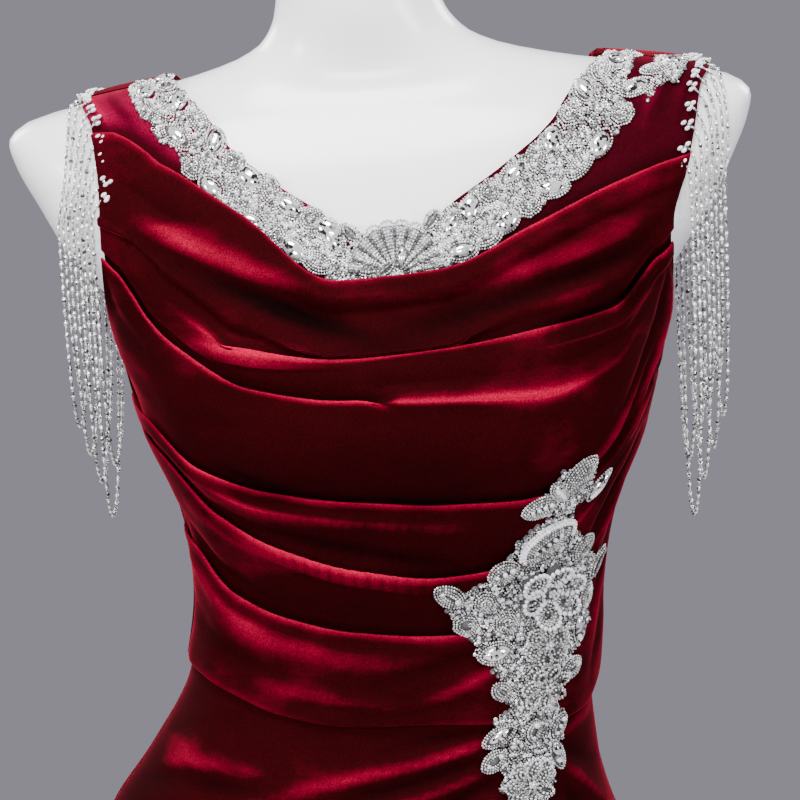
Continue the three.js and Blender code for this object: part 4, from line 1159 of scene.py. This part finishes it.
def readBed():
    cloth = [drapedFront, skirtFrontPanel]
    trees = [BVHTree.FromObject(piece, bpy.context.evaluated_depsgraph_get()) for piece in cloth]
    angles = np.arange(hipBed["from"], hipBed["to"] + 1, hipBed["step"], dtype=float)
    heights = np.arange(hipBed["low"], hipBed["high"] + 1, hipBed["rise"], dtype=float)
    angle, height = np.meshgrid(angles, heights)
    far, near = lean(onBody(angle, height, -1, hipBed["reach"])), lean(onBody(angle, height, -1, 0))
    outs = np.full(angle.shape, hipBed["least"])
    for i, j in np.ndindex(angle.shape):
        start, end = Vector(far[i, j]) * mm, Vector(near[i, j]) * mm
        for tree in trees:
            hit = tree.ray_cast(start, (end - start).normalized(), hipBed["reach"] * mm)
            if hit[3] is not None:
                outs[i, j] = max(outs[i, j], hipBed["reach"] - hit[3] / mm)
    for join in (np.max, np.mean):  # the highest nearby, then the mean
        wide = np.pad(outs, hipBed["even"], mode="edge")
        steps = range(2 * hipBed["even"] + 1)
        outs = join([wide[a : a + outs.shape[0], b : b + outs.shape[1]] for a in steps for b in steps], axis=0)
    return outs


bed = readBed()


def bedOut(angle, z):
    column = np.clip((angle - hipBed["from"]) / hipBed["step"], 0, bed.shape[1] - 1.001)
    row = np.clip((z - hipBed["low"]) / hipBed["rise"], 0, bed.shape[0] - 1.001)
    i, j = row.astype(int), column.astype(int)
    a, b = row - i, column - j
    low = mix(bed[i, j], bed[i, j + 1], b)
    return mix(low, mix(bed[i + 1, j], bed[i + 1, j + 1], b), a)


# regions give an angle for their sideways coordinate and the height of what lies beneath
regions = {
    "neck": {"angle": lambda p: np.sign(p) * angleOf(np.abs(p)), "out": lambda p, q: 3.9 + 0 * p},
    "hip": {"angle": lambda p: p, "out": lambda p, q: bedOut(p, q) + 0.2},
}


def pointsOn(region, p, q, lift):
    spec = regions[region]
    return lean(onBody(spec["angle"](p), q, -1, spec["out"](p, q) + lift))


def scalesAt(region, p, q):
    at = regions[region]["angle"]
    around = ((0.5, 0), (-0.5, 0), (0, 0.5), (0, -0.5))
    spots = [onBody(at(np.array([p + a])), np.array([q + b]), -1, 0)[0] for a, b in around]
    return np.linalg.norm(spots[0] - spots[1]), np.linalg.norm(spots[2] - spots[3])


# jewels are collected here by area and kind, then joined
jewelRows = {}
rng = np.random.default_rng(11)


def motifAt(area, region, p, q, tilt=0):
    spot = {"area": area, "region": region, "p": p, "q": q}
    return {**spot, "tilt": math.radians(tilt), "scales": scalesAt(region, p, q)}


def spotsOf(motif, u, v):
    c, t = math.cos(motif["tilt"]), math.sin(motif["tilt"])
    x, y = u * c - v * t, u * t + v * c
    return motif["p"] + x / motif["scales"][0], motif["q"] + y / motif["scales"][1]


def strew(kind, motif, u, v, lift, size, turn=0.0, shade=None):
    u, v = np.atleast_1d(np.asarray(u, float)), np.atleast_1d(np.asarray(v, float))
    p, q = spotsOf(motif, u, v)
    size = np.array(size, float) * np.ones((len(u), 3))
    size = size * rng.uniform(0.9, 1.1, (len(u), 1))
    shade = rng.uniform(0, 1, len(u)) ** 0.7 if shade is None else shade * np.ones(len(u))
    # hip jewels are painted darker overall: painted shade for the dimmer light at the hip
    shade = shade * (0.72 if motif["region"] == "hip" else 1)
    turn = np.broadcast_to(np.asarray(turn, float) + motif["tilt"], len(u))
    lift = np.broadcast_to(np.asarray(lift, float), len(u))
    rows = jewelRows.setdefault((motif["area"], kind, motif["region"]), [])
    rows.append(np.column_stack([p, q, lift, size, turn, shade]))


# evenly spaced spots along a closed or open line
def spacedAlong(u, v, pitch, closed=True):
    if closed:
        u, v = np.append(u, u[0]), np.append(v, v[0])
    run = np.concatenate([[0], np.cumsum(np.hypot(np.diff(u), np.diff(v)))])
    count = max(3, int(round(run[-1] / pitch)))
    at = np.linspace(0, run[-1], count, endpoint=False) if closed else np.linspace(0, run[-1], count)
    return np.interp(at, run, u), np.interp(at, run, v)


def lensLine(length, width, sharp=0.6):
    t = np.linspace(0, 2 * math.pi, 96, endpoint=False)
    return length * np.cos(t), width * np.sin(t) * np.abs(np.sin(t)) ** sharp


beadSize = {"seed": 0.78, "pitch": 1.5, "pearl": 1.4, "fill": 1.75}
footprints = {}


# keeps the filling out of a motif's place and lays its stiff backing, a dark net that also serves as painted shade
# between the beads
def claim(motif, length, width):
    footprints.setdefault(motif["area"], []).append((motif, length, width))
    strew("pad", motif, 0, 0, 0.3, (length - 1, width - 1, 0.8), shade=0.55)


def seedLine(motif, u, v, lift=0.6, closed=True, kind="bead", scale=1.0):
    u, v = spacedAlong(u, v, beadSize["pitch"] * scale, closed)
    strew(kind, motif, u, v, lift, beadSize["seed"] * scale)


def stoneLeaf(motif, length, width, rows=1, kind="marquise"):
    claim(motif, length, width)
    inner = rows * 1.45 - 0.5
    strew(kind, motif, 0, 0, 1.5, (length - inner, width - inner, 2.8), shade=0.9)
    for k in range(rows):
        trim = 0.4 + 1.4 * k
        seedLine(motif, *lensLine(length - trim, width - trim, 0.25), lift=0.8 + 0.5 * k)


def beadLeaf(motif, length, width, pearls=0):
    claim(motif, length, width)
    trim = 0.5
    while width - trim > 1.1:
        lift = 0.7 + 2.0 * math.sin(0.5 * math.pi * min(1, trim / width))
        seedLine(motif, *lensLine(length - trim, width - trim, 0.3), lift=lift)
        trim += 1.5
    if pearls:
        u = np.linspace(-length * 0.5, length * 0.45, pearls)
        strew("pearl", motif, u, 0 * u, 3.0, beadSize["pearl"] * np.linspace(0.8, 1.15, pearls)[:, None])
    else:
        u = np.arange(-length * 0.7, length * 0.7, 3.0)
        strew("bugle", motif, u, 0 * u, 2.7, (1.4, 0.6, 0.6), shade=0.15)


def rosette(motif, radius, sequins=3):
    claim(motif, radius, radius)
    t = np.linspace(0, 2 * math.pi, 60, endpoint=False)
    scallop = 1 + 0.05 * np.cos(t * 7)
    for k, share in enumerate(np.arange(1, 0.34, -1.5 / radius)):
        seedLine(motif, radius * share * scallop * np.cos(t), radius * share * scallop * np.sin(t), lift=0.7 + 0.55 * k)
    turn = np.arange(sequins) * 2 * math.pi / sequins + 0.4
    strew("sequin", motif, 1.7 * np.cos(turn), 1.7 * np.sin(turn), 2.9, (1.4, 1.4, 1.1))


# a blossom whose petals are edged with pearls and filled with beads, cupped or domed
def blossom(motif, radius, petals, rise, cupped):
    claim(motif, radius * 0.72, radius * 0.72)
    for k in range(petals):
        turn = (k + rng.uniform(-0.12, 0.12)) * 2 * math.pi / petals + 0.4
        reach = radius * rng.uniform(0.9, 1.08)
        c, d = math.cos(turn), math.sin(turn)
        length, width = reach * 0.4, reach * math.sin(math.pi / petals) * 0.74
        middle = reach * 0.62
        strew("pad", motif, middle * c, middle * d, 0.6, (length, width, 1.4), turn, 0.3)
        trim, ring = 0.5, 0
        while width - trim > 0.8:
            depth = min(1, trim / width)
            lift = 1.0 + rise * (1 - 0.8 * depth if cupped else 0.25 + 0.75 * math.sin(0.5 * math.pi * depth))
            kind, size = ("pearl", 1.3) if ring == 0 and cupped else ("bead", 0.9)
            u, v = spacedAlong(*lensLine(length - trim, width - trim, 0.05), 2.0 * size)
            outer = 0.55 * (u / length + 1)  # petals stand higher at their tips
            along, shade = middle + u, 0.85 if ring == 0 else None
            strew(kind, motif, along * c - v * d, along * d + v * c, lift * (0.55 + outer), size, 0, shade)
            trim += 2.3 if ring == 0 and cupped else 1.7
            ring += 1
    turns = np.arange(9) * 2 * math.pi / 9
    top = 1.6 + rise * 0.5
    inner = radius * 0.27
    strew("bugle", motif, inner * np.cos(turns), inner * np.sin(turns), top, (1.5, 0.6, 0.6), turns, 0.5)
    turns = np.arange(5) * 2 * math.pi / 5
    strew("pearl", motif, 1.7 * np.cos(turns), 1.7 * np.sin(turns), top + 0.7, 1.0, 0, 0.4)
    strew("chaton", motif, 0, 0, top + 1.4, (1.2, 1.2, 1), shade=1)


# small beads close the ground between the motifs
def fillGround(area, region, p, q, pitch):
    scales = scalesAt(region, float(np.mean(p)), float(np.mean(q)))
    motif = {"area": area, "region": region, "p": 0, "q": 0, "tilt": 0, "scales": (1, 1)}
    p = p + rng.uniform(-0.22, 0.22, len(p)) * pitch / scales[0]
    q = q + rng.uniform(-0.22, 0.22, len(q)) * pitch / scales[1]
    free = np.ones(len(p), bool)
    for held, length, width in footprints.get(area, []):
        x, y = (p - held["p"]) * held["scales"][0], (q - held["q"]) * held["scales"][1]
        c, t = math.cos(-held["tilt"]), math.sin(-held["tilt"])
        u, v = x * c - y * t, x * t + y * c
        free &= (u / (length + 0.1)) ** 2 + (v / (width + 0.1)) ** 2 > 1
    p, q = p[free], q[free]
    # every fourth spot gets a dark net pad: backing, and painted shade in the gaps between beads
    backed = slice(None, None, 4)
    strew("pad", motif, p[backed], q[backed], -0.2, (2.1, 2.1, 0.6), shade=0.4)
    draw = rng.uniform(0, 1, len(p))
    for kind, low, high, size, lift in (
        ("bead", 0, 0.72, beadSize["seed"], 0.7),
        ("pearl", 0.72, 0.82, 1.15, 1.1),
        ("sequin", 0.82, 0.91, (1.3, 1.3, 0.9), 1.0),
        ("chaton", 0.91, 1.01, (1.25, 1.25, 0.9), 1.1),
    ):
        chosen = (draw >= low) & (draw < high)
        if chosen.any():
            strew(kind, motif, p[chosen], q[chosen], lift, size, 0, rng.uniform(0, 0.7, chosen.sum()))


def gridSpots(p0, p1, q0, q1, region, pitch):
    scaleP, scaleQ = scalesAt(region, (p0 + p1) / 2, (q0 + q1) / 2)
    ps, qs = np.arange(p0, p1, pitch / scaleP), np.arange(q0, q1, pitch * 0.87 / scaleQ)
    p, q = np.meshgrid(ps, qs)
    p = p + (np.arange(len(qs)) % 2)[:, None] * 0.5 * pitch / scaleP
    return p.ravel(), q.ravel()


# the neckline's band: two rows of motifs along its middle, and a fan at the centre
neckBand = {
    "middleX": {-1: [32, 45, 66, 86, 102, 114, 120, 122], 1: [34, 49, 71, 92, 108, 122, 134, 143]},
    "middleZ": [1349, 1355, 1370, 1384, 1402, 1424, 1446, 1464],
    "footX": {-1: [0, 40, 66, 84, 99, 120, 137], 1: [0, 44, 72, 92, 108, 130, 150]},
    "footZ": [1334, 1341, 1351, 1362, 1381, 1399, 1414],
    "end": {-1: 132, 1: 150},
}


def buildNeckBand(sign):
    area = "neckLeft" if sign > 0 else "neckRight"
    middleX = neckBand["middleX"][sign]
    bandFoot = curveThrough(neckBand["footX"][sign], neckBand["footZ"])
    run = np.concatenate([[0], np.cumsum(np.hypot(np.diff(middleX), np.diff(neckBand["middleZ"])))])
    stations = np.arange(3.5, run[-1] - 2, 13.6) + (2 if sign > 0 else 0)
    for index, station in enumerate(stations):
        x = np.interp(station, run, middleX)
        z = np.interp(station, run, neckBand["middleZ"])
        ahead = np.interp(station + 4, run, middleX) - x, np.interp(station + 4, run, neckBand["middleZ"]) - z
        heading = math.degrees(math.atan2(ahead[1], ahead[0] * sign))
        across = np.array([ahead[1], -ahead[0]]) / math.hypot(*ahead)
        for row, offset in enumerate((9.4, -8.6)):
            near = mix(1, 0.7, smooth(station, 80, 120)) if sign < 0 else mix(1, 1.25, smooth(station, 40, 90))
            spot = np.array([x, z]) + across * (offset * near + rng.uniform(-0.8, 0.8))
            style = (index + row + (0 if sign > 0 else 1)) % 4
            tilt = heading + rng.uniform(-26, 26) + (28 if row else -14) * sign
            motif = motifAt(area, "neck", sign * spot[0], spot[1], tilt)
            if style == 0:
                stoneLeaf(motif, 10.2, 6.4, rows=2)
            elif style == 1:
                beadLeaf(motif, 9.8, 6.2, pearls=3)
            elif style == 2:
                stoneLeaf(motif, 8.8, 6.2, rows=1, kind="oval")
            else:
                rosette(motif, 6.8)
    p, q = gridSpots(29, neckBand["end"][sign], 1334, 1478, "neck", beadSize["fill"])
    angle = angleOf(p)
    foot = np.maximum(bandFoot(p) + 1.5 + 3.5 * np.abs(np.sin(p * 0.23)), cowlRim(angle) + 1)
    inside = (q > foot) & (q < topHeight(angle, -1) - 1 - 2 * np.abs(np.sin(p * 0.19)))
    fillGround(area, "neck", sign * p[inside], q[inside], beadSize["fill"])


fan = {"x": 5, "foot": 1333, "radius": 28, "ribs": 11, "spread": 84}


def buildFan():
    motif = motifAt("neckCentre", "neck", fan["x"], fan["foot"])
    turns = np.radians(np.linspace(-fan["spread"], fan["spread"], fan["ribs"]))
    gap = turns[1] - turns[0]
    for turn in turns:
        r = np.arange(5, fan["radius"] - 3.4, 2.7)
        rib = (1.2, 0.6, 0.6)
        strew("bugle", motif, r * np.sin(turn), r * np.cos(turn), 1.7 + 0.02 * r, rib, math.pi / 2 - turn, 0)
        middle = turn + gap / 2
        if turn < turns[-1]:
            for share in (0.4, 0.62, 0.84):
                r = fan["radius"] * share
                half = (4.6, r * gap * 0.62, 0.7)
                strew("pad", motif, r * math.sin(middle), r * math.cos(middle), 0.4, half, math.pi / 2 - middle, 1)
            for share in (0.24, 0.5, 0.76):
                r = np.arange(8, fan["radius"] - 1 + 2 * math.sin(math.pi * share), 1.7)
                at = turn + share * gap
                strew("bead", motif, r * np.sin(at), r * np.cos(at), 1.1, 0.72, 0)
            t = np.linspace(-math.pi / 2, math.pi / 2, 8)
            r = fan["radius"] - 1.6 + 3.0 * np.cos(t)
            at = middle + np.sin(t) * gap * 0.46
            strew("bead", motif, r * np.sin(at), r * np.cos(at), 1.2, 0.95, 0, 0.5)
    for u, v, tilt in ((-15, 4, 10), (17, 5, -12), (-6, 3, 40), (-25, 22, -52), (21, 26, 56)):
        beadLeaf(motifAt("neckCentre", "neck", fan["x"] + u, fan["foot"] + v, tilt), 7.4, 4.6)
    stoneLeaf(motifAt("neckCentre", "neck", -30, 1352, -58), 9.6, 6, rows=2)
    stoneLeaf(motifAt("neckCentre", "neck", 37, 1356, 64), 9.6, 6, rows=2)
    stoneLeaf(motifAt("neckCentre", "neck", fan["x"] + 3.5, fan["foot"] + 9, 84), 8.6, 5.2, rows=2)
    p, q = gridSpots(-34, 36, 1330, 1360, "neck", beadSize["fill"])
    inside = (q > cowlRim(np.sign(p) * angleOf(np.abs(p))) + 1) & (q < np.where(np.abs(p - 3) < 24, 1343, 1355))
    fillGround("neckCentre", "neck", p[inside], q[inside], beadSize["fill"])


for sign in (1, -1):
    buildNeckBand(sign)
buildFan()

# the hip's appliqué: ground rows give a height and the angles that it spans there
hipGround = {
    "spray": [(1235, 43, 48), (1226, 40, 53), (1215, 35, 57), (1206, 34, 51)],
    "main": [(1204, 40, 48), (1195, 33, 53), (1184, 29, 58), (1172, 25, 66), (1160, 16, 67), (1150, 12, 66)]
    + [(1138, 16, 67), (1126, 20, 65), (1116, 25, 60)],
    "trail": [(1114, 27, 60), (1104, 31, 54), (1092, 32, 54), (1080, 28, 57), (1068, 27, 57), (1055, 31, 55)]
    + [(1042, 32, 52), (1030, 33, 49), (1020, 37, 45)],
}
hipMotifs = {
    "spray": [
        ("leaf", 47, 1225, 62, 13.5, 8, 0),
        ("stone", 56, 1217, 58, 11.5, 4.6, 1),
        ("stone", 42, 1217, -48, 8, 5.2, 2),
        ("leaf", 37, 1209, 18, 11.5, 6.8, 4),
    ],
    "main": [
        ("petal", 42, 1187, 38, 17, 9, 5),
        ("leaf", 29, 1172, 20, 9.5, 7.2, 3),
        ("leaf", 57, 1180, 50, 9.6, 7.4, 0),
        ("leaf", 67, 1168, 62, 11, 4.6, 0),
        ("leaf", 62, 1149, 78, 10, 6.2, 2),
        ("stone", 60, 1131, 84, 10, 4.8, 1),
        ("leaf", 14, 1160, -34, 10, 6.4, 2),
        ("rosette", 24, 1155, 0, 7, 7, 3),
        ("rosette", 31, 1141, 0, 7.2, 7.2, 3),
        ("rosette", 19, 1142, 0, 6.8, 6.8, 1),
        ("stone", 28, 1124, 10, 10.6, 6.6, 2),
    ],
    "trail": [
        ("leaf", 57, 1108, 34, 8.6, 6.4, 2),
        ("leaf", 31, 1101, -40, 7.4, 5.4, 0),
        ("stone", 32, 1074, 30, 10.6, 5.8, 2),
        ("leaf", 31, 1060, 38, 8.6, 6, 2),
        ("leaf", 53, 1074, 64, 9, 5.8, 3),
        ("stone", 53, 1058, -72, 9.6, 4.8, 1),
        ("leaf", 43, 1074, 85, 8, 5.6, 2),
        ("rosette", 38, 1029, 0, 4.6, 4.6, 3),
    ],
}
hipBlossoms = {
    "main": [(45, 1157, 19.5, 6, 5.5, True), (45, 1125, 13.5, 6, 3.6, False)],
    "trail": [(46, 1100, 14.5, 7, 4.2, False), (42, 1044, 15.5, 7, 4.6, False)],
}


def buildHip(part):
    area = "hip" + part.capitalize()
    for kind, angle, z, tilt, length, width, extra in hipMotifs[part]:
        motif = motifAt(area, "hip", angle, z, tilt)
        if kind == "stone":
            stoneLeaf(motif, length, width, rows=extra)
        elif kind == "rosette":
            rosette(motif, length, sequins=extra)
        else:
            beadLeaf(motif, length, width, pearls=extra)
        if kind == "petal":
            for trim, lift, size in ((-0.9, 1.6, 1.1), (0.5, 2.8, 1.3)):  # a pearled rim curls over the top
                u, v = spacedAlong(*lensLine(length - trim, width - trim, 0.1), 1.9)
                outer = (v > 0) | (u > length * 0.72)
                strew("pearl", motif, u[outer], v[outer], lift, size, 0, rng.uniform(0.7, 1.4, outer.sum()))
    for angle, z, radius, petals, rise, cupped in hipBlossoms.get(part, []):
        blossom(motifAt(area, "hip", angle, z), radius, petals, rise, cupped)
    rows = hipGround[part][::-1]
    low, high = sectionCurves(rows)
    p, q = gridSpots(8, 72, rows[0][0] - 2, rows[-1][0], "hip", beadSize["fill"])
    scallop = 0.6 + 2.2 * np.abs(np.sin(q * 0.24 + p * 0.02))
    inside = (p > low(q) + scallop) & (p < high(q) - scallop)
    fillGround(area, "hip", p[inside], q[inside], beadSize["fill"])


for part in hipGround:
    buildHip(part)


def frameOn(region, p, q, lift):
    step = 0.4 if region == "neck" else 0.25
    here = pointsOn(region, p, q, lift)
    along = pointsOn(region, p + step, q, lift) - pointsOn(region, p - step, q, lift)
    up = pointsOn(region, p, q + 0.4, lift) - pointsOn(region, p, q - 0.4, lift)
    along = unit(along)
    away = unit(np.cross(along, up))
    up = np.cross(away, along)
    return here, along, up, away


jewelNodes = {
    "neckLeft": "neck_applique_left",
    "neckRight": "neck_applique_right",
    "neckCentre": "neck_applique_centre",
    "hipSpray": "hip_applique_spray",
    "hipMain": "hip_applique_flower",
    "hipTrail": "hip_applique_trail",
}


def joinJewels():
    for (area, kind, region), rows in jewelRows.items():
        p, q, lift, sx, sy, sz, turn, shade = np.concatenate(rows).T
        centre, along, up, away = frameOn(region, p, q, lift)
        c, t = np.cos(turn)[:, None], np.sin(turn)[:, None]
        first, second = along * c + up * t, up * c - along * t
        tip = rng.normal(0, 0.12, (len(p), 2))
        away = away + first * tip[:, :1] + second * tip[:, 1:]
        axes = np.stack([first * sx[:, None], second * sy[:, None], away * sz[:, None]], 1)
        piece = joinCopies(area + kind.capitalize() + "s", kind, centre, axes, shade)
        finishPiece(piece, "jewels", jewelNodes[area])
        print(piece.name, len(p), "placed")


# strung chains at the armholes: where each is sewn, how far out it hangs, how far it drops
chains = {
    "root": [12, 20, 29, 37, 46, 54, 63, 71],
    "beyond": [21, 18.5, 16, 13.5, 11, 8.5, 6, 3.4],
    "drop": [128, 106, 146, 120, 163, 136, 184, 153],
    "capFoot": 1368,
    "pitch": 6.6,
    "legPoints": 14,
    "legOut": (4.9, 6.9),
    "legInward": -3.4,
    "loopPoints": 60,
    "loopPower": 0.62,
    "glance": 0.6,
    "pearlOut": 6.3,
    "pearlHalf": (1.8, 1.15, 1.15),
}
# what each stretch of a chain carries: kind, share of the way along the stretch, half sizes
chainBeads = [
    ("drop", 0, (1.7, 1.5, 1.3)),
    ("bead", 0.27, (0.75, 0.85, 0.85)),
    ("bugle", 0.52, (1.35, 0.62, 0.62)),
    ("bead", 0.77, (0.75, 0.85, 0.85)),
]


def buildChains(sign, node):
    edge = panelEnd["bodice"] * sign
    top = float(archFoot(edge)) + shoulder["archLength"]
    parts = {}

    def put(kind, centres, along, sizes, turns):
        side = unit(np.cross(along, np.array([0.0, -1.0, 0.2])))
        face = np.cross(side, along)
        c, t = np.cos(turns)[:, None], np.sin(turns)[:, None]
        axes = np.stack([along * sizes[0], (side * c + face * t) * sizes[1], (face * c - side * t) * sizes[2]], 1)
        parts.setdefault(kind, []).append((centres, axes))

    for root, beyond, drop in zip(chains["root"], chains["beyond"], chains["drop"]):
        t = np.linspace(0, 1, chains["legPoints"])
        heights = mix(top - root, chains["capFoot"], t)
        legs = []
        for side in (-1, 1):
            out = mix(*chains["legOut"], smooth(t, 0, 0.4))
            inward = mix(chains["legInward"], beyond, np.sqrt(t))
            spots = [onBody(edge, h, side, o, i) for h, o, i in zip(heights, out, inward)]
            legs.append(np.array(spots))
        t = np.linspace(0, 1, chains["loopPoints"])[1:-1]
        loop = mix(legs[0][-1], legs[1][-1], ((1 - np.cos(np.pi * t)) / 2)[:, None])
        loop[:, 2] -= drop * np.sin(np.pi * t) ** chains["loopPower"]
        line = lean(np.concatenate([legs[0], loop, legs[1][::-1]]))
        run = np.concatenate([[0], np.cumsum(np.linalg.norm(np.diff(line, axis=0), axis=1))])
        count = int(run[-1] / chains["pitch"])
        pitch = run[-1] / count
        for kind, share, sizes in chainBeads:
            where = (np.arange(count) + share) * pitch
            behind, centres, ahead = (
                np.stack([np.interp(where + shift, run, line[:, k]) for k in range(3)], -1)
                for shift in (-chains["glance"], 0, chains["glance"])
            )
            put(kind, centres, unit(ahead - behind), sizes, rng.uniform(0, math.pi, count))
        for side in (-1, 1):  # each end is sewn down under three pearls
            for inward, up in ((-3.2, 1.2), (-7 + root % 3, 2.6 - root % 4), (-4.6, -1.6)):
                spot = lean(onBody(edge, top - root + up, side, chains["pearlOut"], inward))[None]
                put("pearl", spot, np.array([[0.8, 0, 0.6]]), chains["pearlHalf"], rng.uniform(0, math.pi, 1))
    name = "chainsLeft" if sign > 0 else "chainsRight"
    for kind, placed in parts.items():
        centres = np.concatenate([centre for centre, _ in placed])
        axes = np.concatenate([axis for _, axis in placed])
        shades = rng.uniform(0.0, 0.35, len(centres)) if kind == "bugle" else rng.uniform(0.4, 1, len(centres))
        finishPiece(joinCopies(name + kind.capitalize() + "s", kind, centres, axes, shades), "chain", node)


buildChains(1, "fringe_left")
buildChains(-1, "fringe_right")
print("chains made")

zipSize = {
    "low": 978,
    "high": 1379,
    "tapeHalf": 9,
    "tapeOut": 1.9,
    "tapeThickness": 0.8,
    "tapeColumns": 25,
    "tapeRows": 260,
    "weave": 0.12,
    "weft": 1500,
    "smoothHalf": 3,
    "tooth": 1.5,
    "toothOut": 3.2,
    "toothAside": 0.55,
    "toothHalf": (2.0, 0.62, 1.3),
}
zipNylon = makeGloss("zipNylon", (0.06, 0.004, 0.01), 0.4, mottle=0.1, scale=400.0)


def onSpine(x, z, out):
    points = onBody(0 * z, z, 1, out)
    points[..., 0] = x
    return points


def buildZip():
    def place(u, v):
        x = mix(-zipSize["tapeHalf"], zipSize["tapeHalf"], u)
        weave = zipSize["weave"] * np.sin(v * zipSize["weft"]) * (np.abs(x) > zipSize["smoothHalf"])
        return onSpine(x, mix(zipSize["low"], zipSize["high"], v), zipSize["tapeOut"] + weave)

    tape = layGrid("zipTape", zipSize["tapeColumns"], zipSize["tapeRows"], place, zipNylon)
    giveThickness(tape, zipSize["tapeThickness"])
    finishPiece(tape, "zip", "zip_strip")
    z = np.arange(zipSize["low"] + 3, zipSize["high"] - 2, zipSize["tooth"])
    side = np.where(np.arange(len(z)) % 2, 1.0, -1.0)
    aside = side * zipSize["toothAside"]
    centres = lean(onSpine(aside, z, zipSize["toothOut"]))
    up = unit(lean(onSpine(aside, z + 1, zipSize["toothOut"])) - centres)
    across = np.zeros_like(centres)
    across[:, 0] = 1
    away = np.cross(up, across)
    wide, tall, deep = zipSize["toothHalf"]
    axes = np.stack([across * wide, up * tall, away * deep], 1)
    shapes["tooth"] = (ballShape(2), zipNylon)
    teeth = joinCopies("zipTeeth", "tooth", centres, axes, np.ones(len(centres)))
    finishPiece(teeth, "zip", "zip_strip")


buildZip()
for name in ("zip_slider", "zip_pull"):
    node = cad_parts[name]
    node.data.materials.clear()
    node.data.materials.append(satinSteel)
print("zip made")
joinJewels()
print("jewels made")


stageLook = {"floor": (0.62, 0.62, 0.63), "world": (0.31, 0.295, 0.345), "worldStrength": 0.88}
bm = bmesh.new()
bmesh.ops.create_grid(bm, x_segments=1, y_segments=1, size=2.6)
floorMesh = bpy.data.meshes.new("floor")
bm.to_mesh(floorMesh)
bm.free()
floor = newObject("floor", floorMesh, makeGloss("floorPaint", stageLook["floor"], 0.7), smoothShade=False)

world = bpy.data.worlds.new("studio")
bpy.context.scene.world = world
world.use_nodes = True
background = world.node_tree.nodes["Background"]
background.inputs["Color"].default_value = (*stageLook["world"], 1)
background.inputs["Strength"].default_value = stageLook["worldStrength"]

target = Vector((8.5, 0, 1250)) * mm
lights = {
    "overhead": {"at": (-250, -800, 2900), "size": 0.8, "watts": 62},
    "left": {"at": (-2000, -1500, 2000), "size": 0.8, "watts": 44},
    "right": {"at": (2000, -1400, 1800), "size": 0.8, "watts": 34},
    "front": {"at": (-200, -2900, 2300), "size": 0.9, "watts": 66},
    "behindLeft": {"at": (-1500, 1500, 2200), "size": 0.9, "watts": 34},
    "behindRight": {"at": (1500, 1500, 2200), "size": 0.9, "watts": 34},
}
for name, spec in lights.items():
    data = bpy.data.lights.new(name, "AREA")
    data.shape = "DISK"
    data.size = spec["size"]
    data.energy = spec["watts"]
    lamp = bpy.data.objects.new(name, data)
    lamp.location = Vector(spec["at"]) * mm
    lamp.rotation_euler = (target - lamp.location).to_track_quat("-Z", "Y").to_euler()
    bpy.context.scene.collection.objects.link(lamp)

view = {"distance": 1.9, "elevation": math.radians(10), "focal": 151.3}
cameraData = bpy.data.cameras.new("camera")
cameraData.lens = view["focal"]
cameraData.sensor_width = 36
camera = bpy.data.objects.new("camera", cameraData)
back = Vector((0, -math.cos(view["elevation"]), math.sin(view["elevation"])))
camera.location = target + back * view["distance"]
camera.rotation_euler = (-back).to_track_quat("-Z", "Y").to_euler()
bpy.context.scene.collection.objects.link(camera)
bpy.context.scene.camera = camera
print("stage, lights and camera set")
